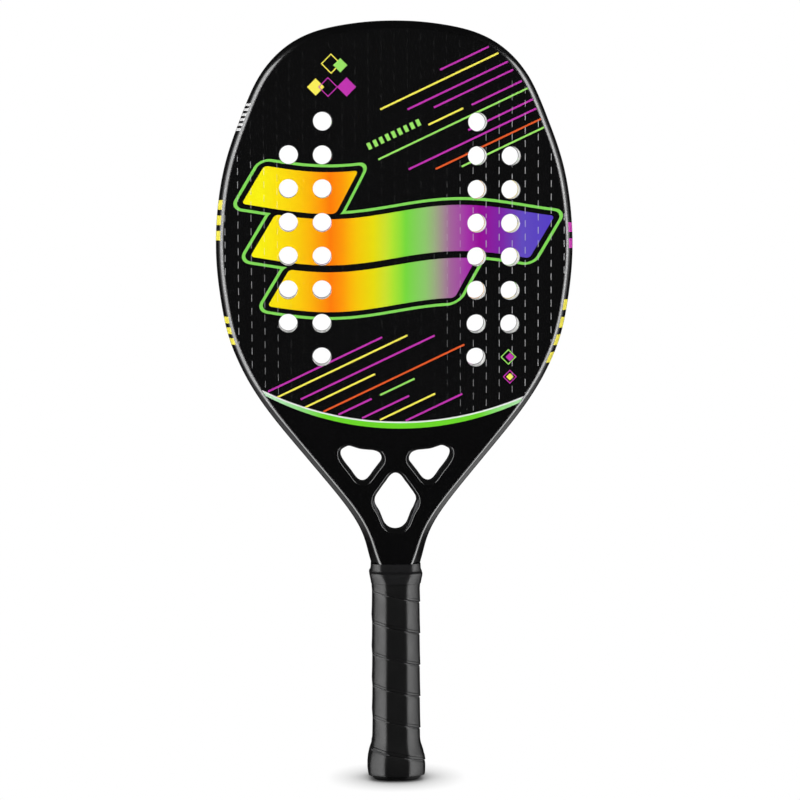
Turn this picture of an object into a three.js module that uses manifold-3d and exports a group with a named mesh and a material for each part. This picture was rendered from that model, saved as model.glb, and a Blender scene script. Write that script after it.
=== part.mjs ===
// A beach tennis racket, standing on its butt. A hollow composite tube runs round the head and down both
// legs of the throat into the handle. Two thin drilled face sheets lie on a foam core in the head, two
// smooth shells with three windows close the throat, and the eight-sided handle is wound with soft tape.
// Millimetres, +Z up along the racket, the front face towards -Y, the origin at the middle of the butt.

import * as THREE from 'three';
import { mergeVertices } from 'three/addons/utils/BufferGeometryUtils.js';
import Module from 'manifold-3d';

const library = await Module();
library.setup();

// Whole racket
const RACKET_LENGTH = 500;
const RACKET_THICKNESS = 22;
const CLEARANCE = 0.3;
const CUT_OVERRUN = 4;

// Outline of the head and throat
const HEAD_WIDTH = 233.4;
const CROWN_HEIGHT = 150;
const NECK_WIDTH = 34.2;
const NECK_RISE = 8;
const TANG_WIDTH = 19;
const TANG_DROP = 5;
const OUTLINE_STEPS = 2;

// Frame tube
const TUBE_WIDTH = 14;
const TUBE_WALL = 1.5;
const TANG_THICKNESS = 14;
const TANG_TAPER = 12;
const LEG_GAP = 6;
const HEAD_SHOULDER = 4.6;
const THROAT_SHOULDER = 3.2;
const NECK_SHOULDER = 4.8;
const SHOULDER_STEPS = 4;
const BORE_STEPS = 2;

// Face sheets and throat shells
const SHEET_THICKNESS = 1.2;
const SHELL_LAP = 6;
const ARC_RADIUS = 205;
const ARC_SHIFT = 4;
const ARC_STEPS = 160;

// Air holes
const HOLE_DIAMETER = 12.2;
const HOLE_SIDE_MARGIN = 44.3;
const HOLE_COLUMN_PITCH = 22;
const HOLE_ROW_PITCH = 21.9;
const HOLE_ROWS = 8;
const HOLE_PATTERN_RISE = 8;
const HOLE_PATTERN_SHIFT = 3;
const HOLE_PATTERN_TILT = 0.5;
const HOLE_SIDES = 12;

// Throat windows
const SIDE_WINDOW_RADII = [6.4, 4.6, 5];
const CENTRE_WINDOW_RADII = [4.7, 5, 7.2, 5];
const WINDOW_BEVEL = 2;
const WRAP_THICKNESS = 1;
const WINDOW_WALL = 2;
const CORNER_STEPS = 5;

// Handle pallets
const HANDLE_WIDTH = 27.2;
const HANDLE_DEPTH = 24;
const HANDLE_CHAMFER = 7.2;
const PALLET_TOP_HEIGHT = 127;
const PALLET_CAVITY_CHAMFER = 2.4;

// Butt cap and its tacks
const CAP_HEIGHT = 26;
const CAP_FLOOR = 3;
const CAP_FLARE = 3.4;
const CAP_SKIRT = 1.6;
const LANYARD_HOLE_DIAMETER = 5;
const TACK_DROP = 10;
const TACK_SINK = 1.8;
const TACK_LENGTH = 4.6;
const TACK_DIAMETER = 1.6;
const TACK_HEAD_DIAMETER = 4;
const TACK_HEAD_THICKNESS = 0.8;
const ROUND_SIDES = 12;

// Grip tape
const TAPE_PITCH = 21.1;
const TAPE_TURN_GAP = 0.6;
const TAPE_THICKNESS = 1.8;
const TAPE_PROUD_EDGE = 0.3;
const TAPE_SEAM_HEIGHT = 17.3;
const TAPE_LEAD_TURNS = 2;
const TAPE_LOW_HEIGHT = 3.3;
const TAPE_TOP_RISE = 11;
const TAPE_CORNER_ANGLE = 4;
const COLLAR_ROOM = 0.4;

// Finishing tape
const FINISHING_THICKNESS = 0.4;
const FINISHING_LAP = 6.5;
const FINISHING_RISE = 5;

// Right half of the outline, each point as a share of the width and of the height of its stretch:
// the crown over the widest line, the throat up from the neck, and the tang up from the handle.
const CROWN_SHARES = [
  [0, 1],
  [0.192, 0.992],
  [0.427, 0.957],
  [0.57, 0.906],
  [0.676, 0.837],
  [0.766, 0.742],
  [0.863, 0.569],
  [0.941, 0.395],
  [0.984, 0.222],
  [1, 0],
];
const THROAT_SHARES = [
  [0.969, 0.842],
  [0.911, 0.713],
  [0.792, 0.584],
  [0.661, 0.486],
  [0.504, 0.389],
  [0.284, 0.259],
  [0.13, 0.161],
  [0.054, 0.096],
  [0.018, 0.044],
  [0, 0],
];
const TANG_SHARES = [
  [0.79, 0.875],
  [0.62, 0.667],
  [0.37, 0.375],
  [0.09, 0.125],
  [0, 0],
];

// The throat's height, as a share of the height from the neck to the widest line
const THROAT_HEIGHT_SHARE = 0.456;

// Where the throat's filler ends and the shaft's foam begins, as a share of the throat's height
const CORE_SPLIT_SHARE = 0.15;

// Where the shoulder's width changes, as shares of the throat's height
const SHOULDER_HEIGHT_SHARES = { neck: 0.05, throat: 0.55, head: 1.2 };
const SHOULDER_LIMIT_SHARE = 0.6;

// Sharp corners of the windows, as shares of the space between the legs there and of the throat's height
const SIDE_WINDOW_SHARES = [
  [0.9, 0.861],
  [0.905, 0.523],
  [0.103, 0.778],
];
const CENTRE_WINDOW_SHARES = [
  [0, 0.673],
  [0.705, 0.468],
  [0, 0.083],
  [-0.705, 0.468],
];

// Outside of the butt cap, as shares of its height and of its flare
const CAP_PROFILE_SHARES = [
  [0, 0.09],
  [0.04, 0.6],
  [0.1, 0.86],
  [0.19, 0.97],
  [0.42, 1],
  [0.62, 0.82],
  [0.78, 0.45],
  [0.92, 0.12],
  [1, 0],
];

// Outer side of the wound tape across one turn, as shares of its width and of its proud edge
const TAPE_PROFILE_SHARES = [
  [-0.5, -1],
  [-0.44, 1],
  [0, 0.1],
  [0.44, -0.6],
  [0.5, -2],
];

// Heights and half sizes that several pieces share: the grip ends above the pallets, and the neck line,
// where the throat begins, lies above the grip
const widestHeight = RACKET_LENGTH - CROWN_HEIGHT;
const tangHeight = PALLET_TOP_HEIGHT - TANG_DROP;
const tapeTopHeight = PALLET_TOP_HEIGHT + TAPE_TOP_RISE;
const neckHeight = tapeTopHeight + NECK_RISE;
const throatHeight = (widestHeight - neckHeight) * THROAT_HEIGHT_SHARE;
const arcLowHeight = neckHeight + throatHeight;
const coreSplitHeight = neckHeight + throatHeight * CORE_SPLIT_SHARE;
const halfThickness = RACKET_THICKNESS / 2;
const sheetFloor = halfThickness - SHEET_THICKNESS;
const capLedgeInset = CAP_SKIRT + CLEARANCE;
const tackHeight = CAP_HEIGHT - TACK_DROP;

// Finishes
function finish(color, roughness, metalness = 0) {
  return new THREE.MeshStandardMaterial({ color, roughness, metalness });
}

const glossComposite = finish('#0b0b0d', 0.18);
const texturedComposite = finish('#101013', 0.3);
const laminate = finish('#141416', 0.35);
const foam = finish('#3a3a3e', 0.95);
const handleFoam = finish('#b9a878', 0.85);
const capPlastic = finish('#101011', 0.5);
const steel = finish('#a8abb0', 0.35, 1);
const softTape = finish('#18181a', 0.7);
const thinTape = finish('#0e0e10', 0.45);

// Solids and geometries
function toSolid(geometry) {
  geometry.deleteAttribute('normal');
  geometry.deleteAttribute('uv');
  const merged = mergeVertices(geometry);
  return new library.Manifold(new library.Mesh({
    numProp: 3,
    vertProperties: new Float32Array(merged.attributes.position.array),
    triVerts: new Uint32Array(merged.index.array),
  }));
}

function toGeometry(solid) {
  const mesh = solid.getMesh();
  const geometry = new THREE.BufferGeometry();
  geometry.setAttribute('position', new THREE.BufferAttribute(mesh.vertProperties, 3));
  geometry.setIndex(new THREE.BufferAttribute(mesh.triVerts, 1));
  geometry.computeVertexNormals();
  return geometry;
}

// A closed solid through rings of points, all with the same count, capped flat at both ends
function loft(rings) {
  const size = rings[0].length;
  const positions = rings.flat(2);
  const index = [];
  for (let r = 0; r + 1 < rings.length; r += 1) {
    for (let i = 0; i < size; i += 1) {
      const a = r * size + i;
      const b = r * size + ((i + 1) % size);
      index.push(a, b, b + size);
      index.push(a, b + size, a + size);
    }
  }
  const last = (rings.length - 1) * size;
  for (const [a, b, c] of capTriangles(rings[0])) {
    index.push(c, b, a);
  }
  for (const [a, b, c] of capTriangles(rings.at(-1))) {
    index.push(last + a, last + b, last + c);
  }
  const geometry = new THREE.BufferGeometry();
  geometry.setAttribute('position', new THREE.BufferAttribute(new Float32Array(positions), 3));
  geometry.setIndex(outwardIndex(positions, index));
  return toSolid(geometry);
}

// Triangles of a flat ring, turning the same way as the ring
function capTriangles(ring) {
  const points = ring.map((p) => new THREE.Vector3(...p));
  const normal = new THREE.Vector3();
  points.forEach((p, i) => {
    normal.add(new THREE.Vector3().crossVectors(p, points[(i + 1) % points.length]));
  });
  normal.normalize();
  const across = new THREE.Vector3().subVectors(points[1], points[0]).normalize();
  const up = new THREE.Vector3().crossVectors(normal, across);
  const flat = points.map((p) => new THREE.Vector2(p.dot(across), p.dot(up)));
  return THREE.ShapeUtils.triangulateShape(flat, []);
}

// The index with every face turned outward, told by the sign of the volume
function outwardIndex(positions, index) {
  const corner = (i) => new THREE.Vector3().fromArray(positions, 3 * i);
  let volume = 0;
  for (let i = 0; i < index.length; i += 3) {
    volume += corner(index[i]).dot(corner(index[i + 1]).cross(corner(index[i + 2])));
  }
  return volume < 0 ? index.reverse() : index;
}

// A plate with the given outline of [x, z] points, between two values of y
function plate(outline, lowY, highY) {
  const shape = new THREE.Shape(outline.map(([x, z]) => new THREE.Vector2(x, z)));
  const geometry = new THREE.ExtrudeGeometry(shape, { depth: highY - lowY, bevelEnabled: false });
  geometry.rotateX(Math.PI / 2);
  geometry.translate(0, highY, 0);
  return toSolid(geometry);
}

function circlePoints(centreX, centreZ, radius, sides) {
  return Array.from({ length: sides }, (_, i) => {
    const angle = (2 * Math.PI * i) / sides;
    return [centreX + radius * Math.cos(angle), centreZ + radius * Math.sin(angle)];
  });
}

// A round rod along Y, for tacks and for holes
function rodAlongY(x, z, diameter, lowY, highY) {
  return plate(circlePoints(x, z, diameter / 2, ROUND_SIDES), lowY, highY);
}

// An eight-sided ring at one height, with corners cut by the same chamfer
function octagonRing(halfX, halfY, chamfer, z) {
  const inX = halfX - chamfer;
  const inY = halfY - chamfer;
  return [
    [halfX, -inY, z],
    [halfX, inY, z],
    [inX, halfY, z],
    [-inX, halfY, z],
    [-halfX, inY, z],
    [-halfX, -inY, z],
    [-inX, -halfY, z],
    [inX, -halfY, z],
  ];
}

// The chamfer of an eight-sided ring once all its sides have moved out by the same distance
function grownChamfer(chamfer, growth) {
  return chamfer + (2 - Math.SQRT2) * growth;
}

// The frame's outline, from the left leg's end over the crown to the right leg's end. Each station has its
// place, the direction into the racket, and the tube's width, shoulder and half thickness there.
function makeStation(x, z, inX, inZ) {
  const room = Math.abs(x) - LEG_GAP / 2;
  const inward = Math.abs(inX);
  const width = z < widestHeight ? Math.min(TUBE_WIDTH, room / inward) : TUBE_WIDTH;
  const taper = (z - tangHeight) / TANG_TAPER;
  const half = THREE.MathUtils.lerp(TANG_THICKNESS / 2, halfThickness, THREE.MathUtils.clamp(taper, 0, 1));
  const shoulder = Math.min(shoulderWidth(z), width * SHOULDER_LIMIT_SHARE);
  return { x, z, inX, inZ, width, half, shoulder };
}

function shoulderWidth(z) {
  const share = (z - neckHeight) / throatHeight;
  const { neck, throat, head } = SHOULDER_HEIGHT_SHARES;
  const fromNeck = THREE.MathUtils.smoothstep(share, neck, throat);
  const toHead = THREE.MathUtils.smoothstep(share, throat, head);
  const low = THREE.MathUtils.lerp(NECK_SHOULDER, THROAT_SHOULDER, fromNeck);
  return THREE.MathUtils.lerp(low, HEAD_SHOULDER, toHead);
}

function stretchPoints(shares, lowHalf, highHalf, lowZ, highZ) {
  return shares.map(([across, up]) => [
    THREE.MathUtils.lerp(lowHalf, highHalf, across),
    THREE.MathUtils.lerp(lowZ, highZ, up),
  ]);
}

function makeStations() {
  const headHalf = HEAD_WIDTH / 2;
  const neckHalf = NECK_WIDTH / 2;
  const tangHalf = TANG_WIDTH / 2;
  const right = [
    ...stretchPoints(CROWN_SHARES, 0, headHalf, widestHeight, RACKET_LENGTH),
    ...stretchPoints(THROAT_SHARES, neckHalf, headHalf, neckHeight, widestHeight),
    ...stretchPoints(TANG_SHARES, tangHalf, neckHalf, tangHeight, neckHeight),
  ];
  const left = right.slice(1).reverse().map(([x, z]) => [-x, z]);
  const points = [...left, ...right].map(([x, z]) => new THREE.Vector3(x, 0, z));
  const curve = new THREE.CatmullRomCurve3(points, false, 'centripetal');
  const count = (points.length - 1) * OUTLINE_STEPS;
  const between = [];
  for (let i = 1; i < count; i += 1) {
    const place = curve.getPoint(i / count);
    const along = curve.getTangent(i / count);
    between.push(makeStation(place.x, place.z, along.z, -along.x));
  }
  return [
    makeStation(-tangHalf, CAP_FLOOR, 1, 0),
    makeStation(-tangHalf, tangHeight, 1, 0),
    ...between,
    makeStation(tangHalf, tangHeight, -1, 0),
    makeStation(tangHalf, CAP_FLOOR, -1, 0),
  ];
}

const stations = makeStations();

// The outline moved inward at each station by the distance that the rule gives, without the points that
// would double back where a leg bends
function insetOutline(distanceOf) {
  const outline = [];
  for (const station of stations) {
    const distance = distanceOf(station);
    const x = station.x + station.inX * distance;
    const z = station.z + station.inZ * distance;
    const [lastX, lastZ] = outline.at(-1) ?? [x, -RACKET_LENGTH];
    if ((z - lastZ) * station.inX > (x - lastX) * station.inZ) {
      outline.push([x, z]);
    }
  }
  return outline;
}

const frameOutline = insetOutline(() => 0);
const sheetOutline = insetOutline((station) => station.shoulder + CLEARANCE);
const tubeInnerOutline = insetOutline((station) => station.width);
const coreOutline = insetOutline((station) => station.width + CLEARANCE);

// Half the width of an inset outline at a height below the widest line
function halfWidthAt(outline, z) {
  const side = outline.slice(Math.floor(outline.length / 2));
  const below = side.findIndex(([x, pointZ]) => pointZ <= z && x > 0);
  const [x0, z0] = side[below - 1];
  const [x1, z1] = side[below];
  return THREE.MathUtils.mapLinear(z, z0, z1, x0, x1);
}

// The disc whose lower edge is the arc between the head and the throat
function headZone(growth) {
  const radius = ARC_RADIUS + growth;
  const points = circlePoints(ARC_SHIFT, arcLowHeight + ARC_RADIUS, radius, ARC_STEPS);
  return plate(points, -halfThickness - CUT_OVERRUN, halfThickness + CUT_OVERRUN);
}

// Everything above one height and below another
function slab(lowZ, highZ) {
  const reach = HEAD_WIDTH;
  const corners = [[-reach, lowZ], [reach, lowZ], [reach, highZ], [-reach, highZ]];
  return plate(corners, -reach, reach);
}

// The hollow tube, with a rebate on both faces that the sheets and shells lie in
function tubeRing(station, shape) {
  return shape.map(([depth, y]) => [
    station.x + station.inX * depth,
    y,
    station.z + station.inZ * depth,
  ]);
}

function shoulderArc(start, width, half, steps) {
  const points = [];
  for (let i = steps; i >= -steps; i -= 1) {
    const angle = (Math.PI / 2) * (i / steps);
    points.push([start + width * (1 - Math.cos(angle)), half * Math.sin(angle)]);
  }
  return points;
}

function outerSection({ width, shoulder, half }) {
  const floor = half - SHEET_THICKNESS;
  return [
    [width, floor],
    [shoulder, floor],
    ...shoulderArc(0, shoulder, half, SHOULDER_STEPS),
    [shoulder, -floor],
    [width, -floor],
  ];
}

function boreSection({ width, shoulder, half }) {
  const floor = half - SHEET_THICKNESS - TUBE_WALL;
  return [
    [width - TUBE_WALL, floor],
    ...shoulderArc(TUBE_WALL, shoulder - TUBE_WALL, floor, BORE_STEPS),
    [width - TUBE_WALL, -floor],
  ];
}

function makeFrameTube() {
  const outside = stations.map((station) => tubeRing(station, outerSection(station)));
  const bore = stations.map((station) => tubeRing(station, boreSection(station)));
  const past = (ring) => ring.map(([x, y, z]) => [x, y, z - CUT_OVERRUN]);
  const boreRings = [past(bore[0]), ...bore, past(bore.at(-1))];
  return loft(outside).subtract(loft(boreRings));
}

// The air holes, drilled straight through both sheets and the foam, in a pattern turned clockwise a little
function holeCentres() {
  const outerColumn = HEAD_WIDTH / 2 - HOLE_SIDE_MARGIN;
  const innerColumn = outerColumn - HOLE_COLUMN_PITCH;
  const middle = new THREE.Vector2(HOLE_PATTERN_SHIFT, widestHeight + HOLE_PATTERN_RISE);
  const tilt = -THREE.MathUtils.degToRad(HOLE_PATTERN_TILT);
  const centres = [];
  for (let row = 0; row < HOLE_ROWS; row += 1) {
    const z = middle.y + (row - (HOLE_ROWS - 1) / 2) * HOLE_ROW_PITCH;
    const endRow = row === 0 || row === HOLE_ROWS - 1;
    const columns = endRow ? [innerColumn] : [innerColumn, outerColumn];
    for (const column of [...columns, ...columns.map((one) => -one)]) {
      centres.push(new THREE.Vector2(middle.x + column, z).rotateAround(middle, tilt).toArray());
    }
  }
  return centres;
}

function drilled(solid) {
  const reach = halfThickness + CUT_OVERRUN;
  let result = solid;
  for (const [x, z] of holeCentres()) {
    const drill = plate(circlePoints(x, z, HOLE_DIAMETER / 2, HOLE_SIDES), -reach, reach);
    result = result.subtract(drill);
  }
  return result;
}

function makeFaceSheet(lowY, highY) {
  return drilled(plate(sheetOutline, lowY, highY).intersect(headZone(0)));
}

function makeCoreFoam() {
  return drilled(plate(coreOutline, -sheetFloor, sheetFloor).intersect(headZone(0)));
}

// A window's corners, moved outward by a distance, then rounded
function windowCorners(shares) {
  return shares.map(([across, up]) => {
    const z = neckHeight + up * throatHeight;
    return new THREE.Vector2(across * halfWidthAt(tubeInnerOutline, z), z);
  });
}

function grownCorners(corners, growth) {
  return corners.map((corner, i) => {
    const before = corners.at(i - 1);
    const after = corners[(i + 1) % corners.length];
    const arrive = new THREE.Vector2().subVectors(corner, before).normalize();
    const leave = new THREE.Vector2().subVectors(after, corner).normalize();
    const turn = arrive.cross(leave);
    const shift = new THREE.Vector2().subVectors(arrive, leave).multiplyScalar(growth / Math.abs(turn));
    return new THREE.Vector2().addVectors(corner, shift);
  });
}

function roundedOutline(corners, radii) {
  return corners.flatMap((corner, i) => {
    const before = corners.at(i - 1);
    const after = corners[(i + 1) % corners.length];
    const back = new THREE.Vector2().subVectors(before, corner);
    const ahead = new THREE.Vector2().subVectors(after, corner);
    const room = (Math.min(back.length(), ahead.length()) - CLEARANCE) / 2;
    const halfAngle = Math.acos(back.dot(ahead) / (back.length() * ahead.length())) / 2;
    const radius = Math.min(radii[i], room * Math.tan(halfAngle));
    const towards = back.normalize().add(ahead.normalize()).normalize();
    const centre = towards.clone().multiplyScalar(radius / Math.sin(halfAngle)).add(corner);
    const facing = Math.atan2(-towards.y, -towards.x);
    const sweep = Math.PI / 2 - halfAngle;
    const turn = Math.sign(back.cross(ahead));
    return Array.from({ length: CORNER_STEPS + 1 }, (_, step) => {
      const angle = facing + turn * sweep * (1 - (2 * step) / CORNER_STEPS);
      return [centre.x + radius * Math.cos(angle), centre.y + radius * Math.sin(angle)];
    });
  });
}

function mirrored(shares) {
  return shares.map(([across, up]) => [-across, up]).reverse();
}

const windows = [
  { name: 'left', shares: mirrored(SIDE_WINDOW_SHARES), radii: SIDE_WINDOW_RADII.toReversed() },
  { name: 'right', shares: SIDE_WINDOW_SHARES, radii: SIDE_WINDOW_RADII },
  { name: 'centre', shares: CENTRE_WINDOW_SHARES, radii: CENTRE_WINDOW_RADII },
];

// A window's outline, moved outward by a distance. Its wall to the tube stays, however narrow the throat.
function windowOutline(window, growth) {
  const radii = window.radii.map((radius) => radius + growth);
  const outline = roundedOutline(grownCorners(windowCorners(window.shares), growth), radii);
  return outline.map(([x, z]) => {
    const limit = halfWidthAt(tubeInnerOutline, z) - WINDOW_WALL + growth;
    return [THREE.MathUtils.clamp(x, -limit, limit), z];
  });
}

// A throat shell, with each window's edge bevelled from its inner face out to its outer face
function makeThroatShell(innerY, outerY) {
  const low = Math.min(innerY, outerY);
  const high = Math.max(innerY, outerY);
  let shell = plate(sheetOutline, low, high).subtract(headZone(CLEARANCE));
  shell = shell.intersect(slab(neckHeight - SHELL_LAP, RACKET_LENGTH));
  for (const window of windows) {
    const ringAt = (growth, y) => windowOutline(window, growth).map(([x, z]) => [x, y, z]);
    const rise = outerY - innerY;
    const cutter = loft([
      ringAt(0, innerY - rise),
      ringAt(0, innerY),
      ringAt(2 * WINDOW_BEVEL, outerY + rise),
    ]);
    shell = shell.subtract(cutter);
  }
  return shell;
}

function makeThroatCore() {
  let core = plate(coreOutline, -sheetFloor, sheetFloor).subtract(headZone(CLEARANCE));
  core = core.intersect(slab(coreSplitHeight, RACKET_LENGTH));
  for (const window of windows) {
    const outline = windowOutline(window, WRAP_THICKNESS + CLEARANCE);
    core = core.subtract(plate(outline, -halfThickness, halfThickness));
  }
  return core;
}

function makeWindowWrap(window) {
  const outside = plate(windowOutline(window, WRAP_THICKNESS), -sheetFloor, sheetFloor);
  return outside.subtract(plate(windowOutline(window, 0), -halfThickness, halfThickness));
}

// The foam between the two legs in the neck and the handle, over the pocket for a cord's knot
function makeShaftCore() {
  const halfX = LEG_GAP / 2 - CLEARANCE;
  const highZ = coreSplitHeight - CLEARANCE;
  const corners = [[-halfX, CAP_HEIGHT], [halfX, CAP_HEIGHT], [halfX, highZ], [-halfX, highZ]];
  const halfY = TANG_THICKNESS / 2 - SHEET_THICKNESS;
  return plate(corners, -halfY, halfY);
}

// The corners of an eight-sided ring that just clear the tube's rounded shoulders at the neck
const neckChamfer = halfThickness + NECK_SHOULDER - Math.hypot(halfThickness, NECK_SHOULDER);

// The handle's outer surface under the grip: the cap's flare, the pallets, then the collar at the neck
function handleSizes(growth) {
  const halfX = HANDLE_WIDTH / 2 + growth;
  const halfY = HANDLE_DEPTH / 2 + growth;
  const chamfer = grownChamfer(HANDLE_CHAMFER, growth);
  const cap = CAP_PROFILE_SHARES.map(([up, out]) => {
    const flare = out * CAP_FLARE;
    const flaredChamfer = grownChamfer(chamfer, flare);
    return { halfX: halfX + flare, halfY: halfY + flare, chamfer: flaredChamfer, z: up * CAP_HEIGHT };
  });
  const collar = {
    halfX: halfWidthAt(frameOutline, tapeTopHeight) + COLLAR_ROOM + growth,
    halfY: halfThickness + COLLAR_ROOM + growth,
    chamfer: grownChamfer(neckChamfer, growth),
    z: tapeTopHeight,
  };
  return [...cap, { halfX, halfY, chamfer, z: PALLET_TOP_HEIGHT }, collar];
}

// The sizes at a height: the lowest ring's below it, and the last taper goes on for its own height again
function sizeAt(sizes, z) {
  const above = sizes.findIndex((size) => size.z > z);
  if (above === 0) {
    return sizes[0];
  }
  const high = sizes.at(above);
  const low = above < 0 ? sizes.at(-2) : sizes[above - 1];
  const share = Math.min((z - low.z) / (high.z - low.z), 2);
  return {
    halfX: THREE.MathUtils.lerp(low.halfX, high.halfX, share),
    halfY: THREE.MathUtils.lerp(low.halfY, high.halfY, share),
    chamfer: THREE.MathUtils.lerp(low.chamfer, high.chamfer, share),
    z,
  };
}

function sizeRing({ halfX, halfY, chamfer, z }) {
  return octagonRing(halfX, halfY, chamfer, z);
}

// The pallets: two half shells round the tube's legs, stepped in at the foot for the cap's skirt
function handleRing(inset, z) {
  const chamfer = grownChamfer(HANDLE_CHAMFER, -inset);
  return octagonRing(HANDLE_WIDTH / 2 - inset, HANDLE_DEPTH / 2 - inset, chamfer, z);
}

// The room round the tube's legs at the height z, as a ring laid at another height
function tangRing(z, height) {
  const station = stations.findLast((one) => one.x < 0 && one.z <= z) ?? stations[0];
  const next = stations[stations.indexOf(station) + 1];
  const share = (z - station.z) / (next.z - station.z);
  const halfX = -THREE.MathUtils.lerp(station.x, next.x, share) + CLEARANCE;
  const halfY = THREE.MathUtils.lerp(station.half, next.half, share) + CLEARANCE;
  return octagonRing(halfX, halfY, PALLET_CAVITY_CHAMFER, height);
}

function makePallet(side) {
  const outside = loft([
    handleRing(capLedgeInset, CAP_FLOOR),
    handleRing(capLedgeInset, CAP_HEIGHT),
    handleRing(0, CAP_HEIGHT),
    handleRing(0, PALLET_TOP_HEIGHT),
  ]);
  const cavity = loft([
    tangRing(tangHeight, CAP_FLOOR - CUT_OVERRUN),
    tangRing(tangHeight, tangHeight),
    tangRing(PALLET_TOP_HEIGHT, PALLET_TOP_HEIGHT),
    tangRing(PALLET_TOP_HEIGHT, PALLET_TOP_HEIGHT + CUT_OVERRUN),
  ]);
  const reach = HANDLE_WIDTH;
  const corners = [[-reach, 0], [reach, 0], [reach, RACKET_LENGTH], [-reach, RACKET_LENGTH]];
  const half = side < 0 ? plate(corners, -reach, 0) : plate(corners, 0, reach);
  const pilot = TACK_DIAMETER + 2 * CLEARANCE;
  const hole = rodAlongY(0, tackHeight, pilot, Math.min(0, side * reach), Math.max(0, side * reach));
  return outside.subtract(cavity).intersect(half).subtract(hole);
}

// The butt cap: a flared cup over the foot of the pallets, with a hole for a wrist cord in its floor
const tackSeatY = sizeAt(handleSizes(0), tackHeight).halfY - TACK_SINK;

function makeButtCap() {
  const outside = loft(handleSizes(0).slice(0, CAP_PROFILE_SHARES.length).map(sizeRing));
  const pocket = loft([
    handleRing(CAP_SKIRT, CAP_FLOOR),
    handleRing(CAP_SKIRT, CAP_HEIGHT + CUT_OVERRUN),
  ]);
  let cap = outside.subtract(pocket);
  const lanyard = new THREE.CylinderGeometry(
    LANYARD_HOLE_DIAMETER / 2,
    LANYARD_HOLE_DIAMETER / 2,
    2 * CAP_FLOOR + CUT_OVERRUN,
    ROUND_SIDES,
  );
  lanyard.rotateX(Math.PI / 2);
  cap = cap.subtract(toSolid(lanyard));
  const reach = HANDLE_DEPTH;
  const pinHole = TACK_DIAMETER + 2 * CLEARANCE;
  const headHole = TACK_HEAD_DIAMETER + 2 * CLEARANCE;
  cap = cap.subtract(rodAlongY(0, tackHeight, pinHole, -reach, reach));
  cap = cap.subtract(rodAlongY(0, tackHeight, headHole, -reach, -tackSeatY));
  return cap.subtract(rodAlongY(0, tackHeight, headHole, tackSeatY, reach));
}

// A tack that points along +Y, with the underside of its head at the origin
function makeTack() {
  const head = rodAlongY(0, 0, TACK_HEAD_DIAMETER, -TACK_HEAD_THICKNESS, 0);
  return head.add(rodAlongY(0, 0, TACK_DIAMETER, -TACK_HEAD_THICKNESS / 2, TACK_LENGTH));
}

// The grip tape: one unbroken band wound up the handle, left-handed, each turn's lower edge proud
function handleReach(z, growth, angle) {
  const { halfX, halfY, chamfer } = sizeAt(handleSizes(growth), z);
  const across = Math.abs(Math.cos(angle));
  const deep = Math.abs(Math.sin(angle));
  return 1 / Math.max(across / halfX, deep / halfY, (across + deep) / (halfX + halfY - chamfer));
}

// The angles of one quarter turn: the middle of each side, and both sides of each corner
function quarterAngles() {
  const halfX = HANDLE_WIDTH / 2;
  const halfY = HANDLE_DEPTH / 2;
  const spread = THREE.MathUtils.degToRad(TAPE_CORNER_ANGLE);
  const first = Math.atan2(halfY - HANDLE_CHAMFER, halfX);
  const second = Math.atan2(halfY, halfX - HANDLE_CHAMFER);
  return [0, first - spread, first + spread, (first + second) / 2, second - spread, second + spread];
}

function turnAngles() {
  const quarter = quarterAngles();
  const mirroredQuarter = [Math.PI / 2, ...quarter.slice(1).reverse().map((angle) => Math.PI - angle)];
  const half = [...quarter, ...mirroredQuarter];
  return [...half, ...half.map((angle) => angle + Math.PI)];
}

function tapeRing(winding) {
  const band = TAPE_PITCH - TAPE_TURN_GAP;
  const start = TAPE_SEAM_HEIGHT + band / 2 - (TAPE_LEAD_TURNS + 1 / 4) * TAPE_PITCH;
  const middle = start + (TAPE_PITCH * winding) / (2 * Math.PI);
  const point = (shareUp, growth) => {
    const z = middle + shareUp * band;
    const reach = handleReach(z, growth, winding);
    return [reach * Math.cos(winding), -reach * Math.sin(winding), z];
  };
  const outside = TAPE_PROFILE_SHARES.map(([up, proud]) => {
    return point(up, CLEARANCE + TAPE_THICKNESS + proud * TAPE_PROUD_EDGE);
  });
  return [...outside, point(0.5, -TAPE_THICKNESS), point(-0.5, -TAPE_THICKNESS)];
}

function tapeRings() {
  const turns = Math.ceil(tapeTopHeight / TAPE_PITCH) + TAPE_LEAD_TURNS + 1;
  const angles = turnAngles();
  const rings = [];
  for (let turn = 0; turn < turns; turn += 1) {
    for (const angle of angles) {
      rings.push(tapeRing(angle + 2 * Math.PI * turn));
    }
  }
  return rings;
}

// The least distance from the upper edge of one turn to the lower edge of the next
function leastTurnGap(rings) {
  const perTurn = turnAngles().length;
  let least = Infinity;
  for (let i = 0; i + perTurn < rings.length; i += 1) {
    const upper = new THREE.Vector3(...rings[i][TAPE_PROFILE_SHARES.length - 1]);
    for (let k = i + perTurn - 1; k <= Math.min(i + perTurn + 1, rings.length - 1); k += 1) {
      least = Math.min(least, upper.distanceTo(new THREE.Vector3(...rings[k][0])));
    }
  }
  return least;
}

function makeGripTape() {
  const rings = tapeRings();
  console.log(`least gap between the turns of the grip tape: ${leastTurnGap(rings).toFixed(2)} mm`);
  const under = handleSizes(CLEARANCE).map(sizeRing);
  const foot = under[0].map(([x, y, z]) => [x, y, z - CUT_OVERRUN]);
  const head = under.at(-1).map(([x, y, z]) => [x, y, z + CUT_OVERRUN]);
  const handle = loft([foot, ...under, head]);
  return loft(rings).intersect(slab(TAPE_LOW_HEIGHT, tapeTopHeight)).subtract(handle);
}

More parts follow.
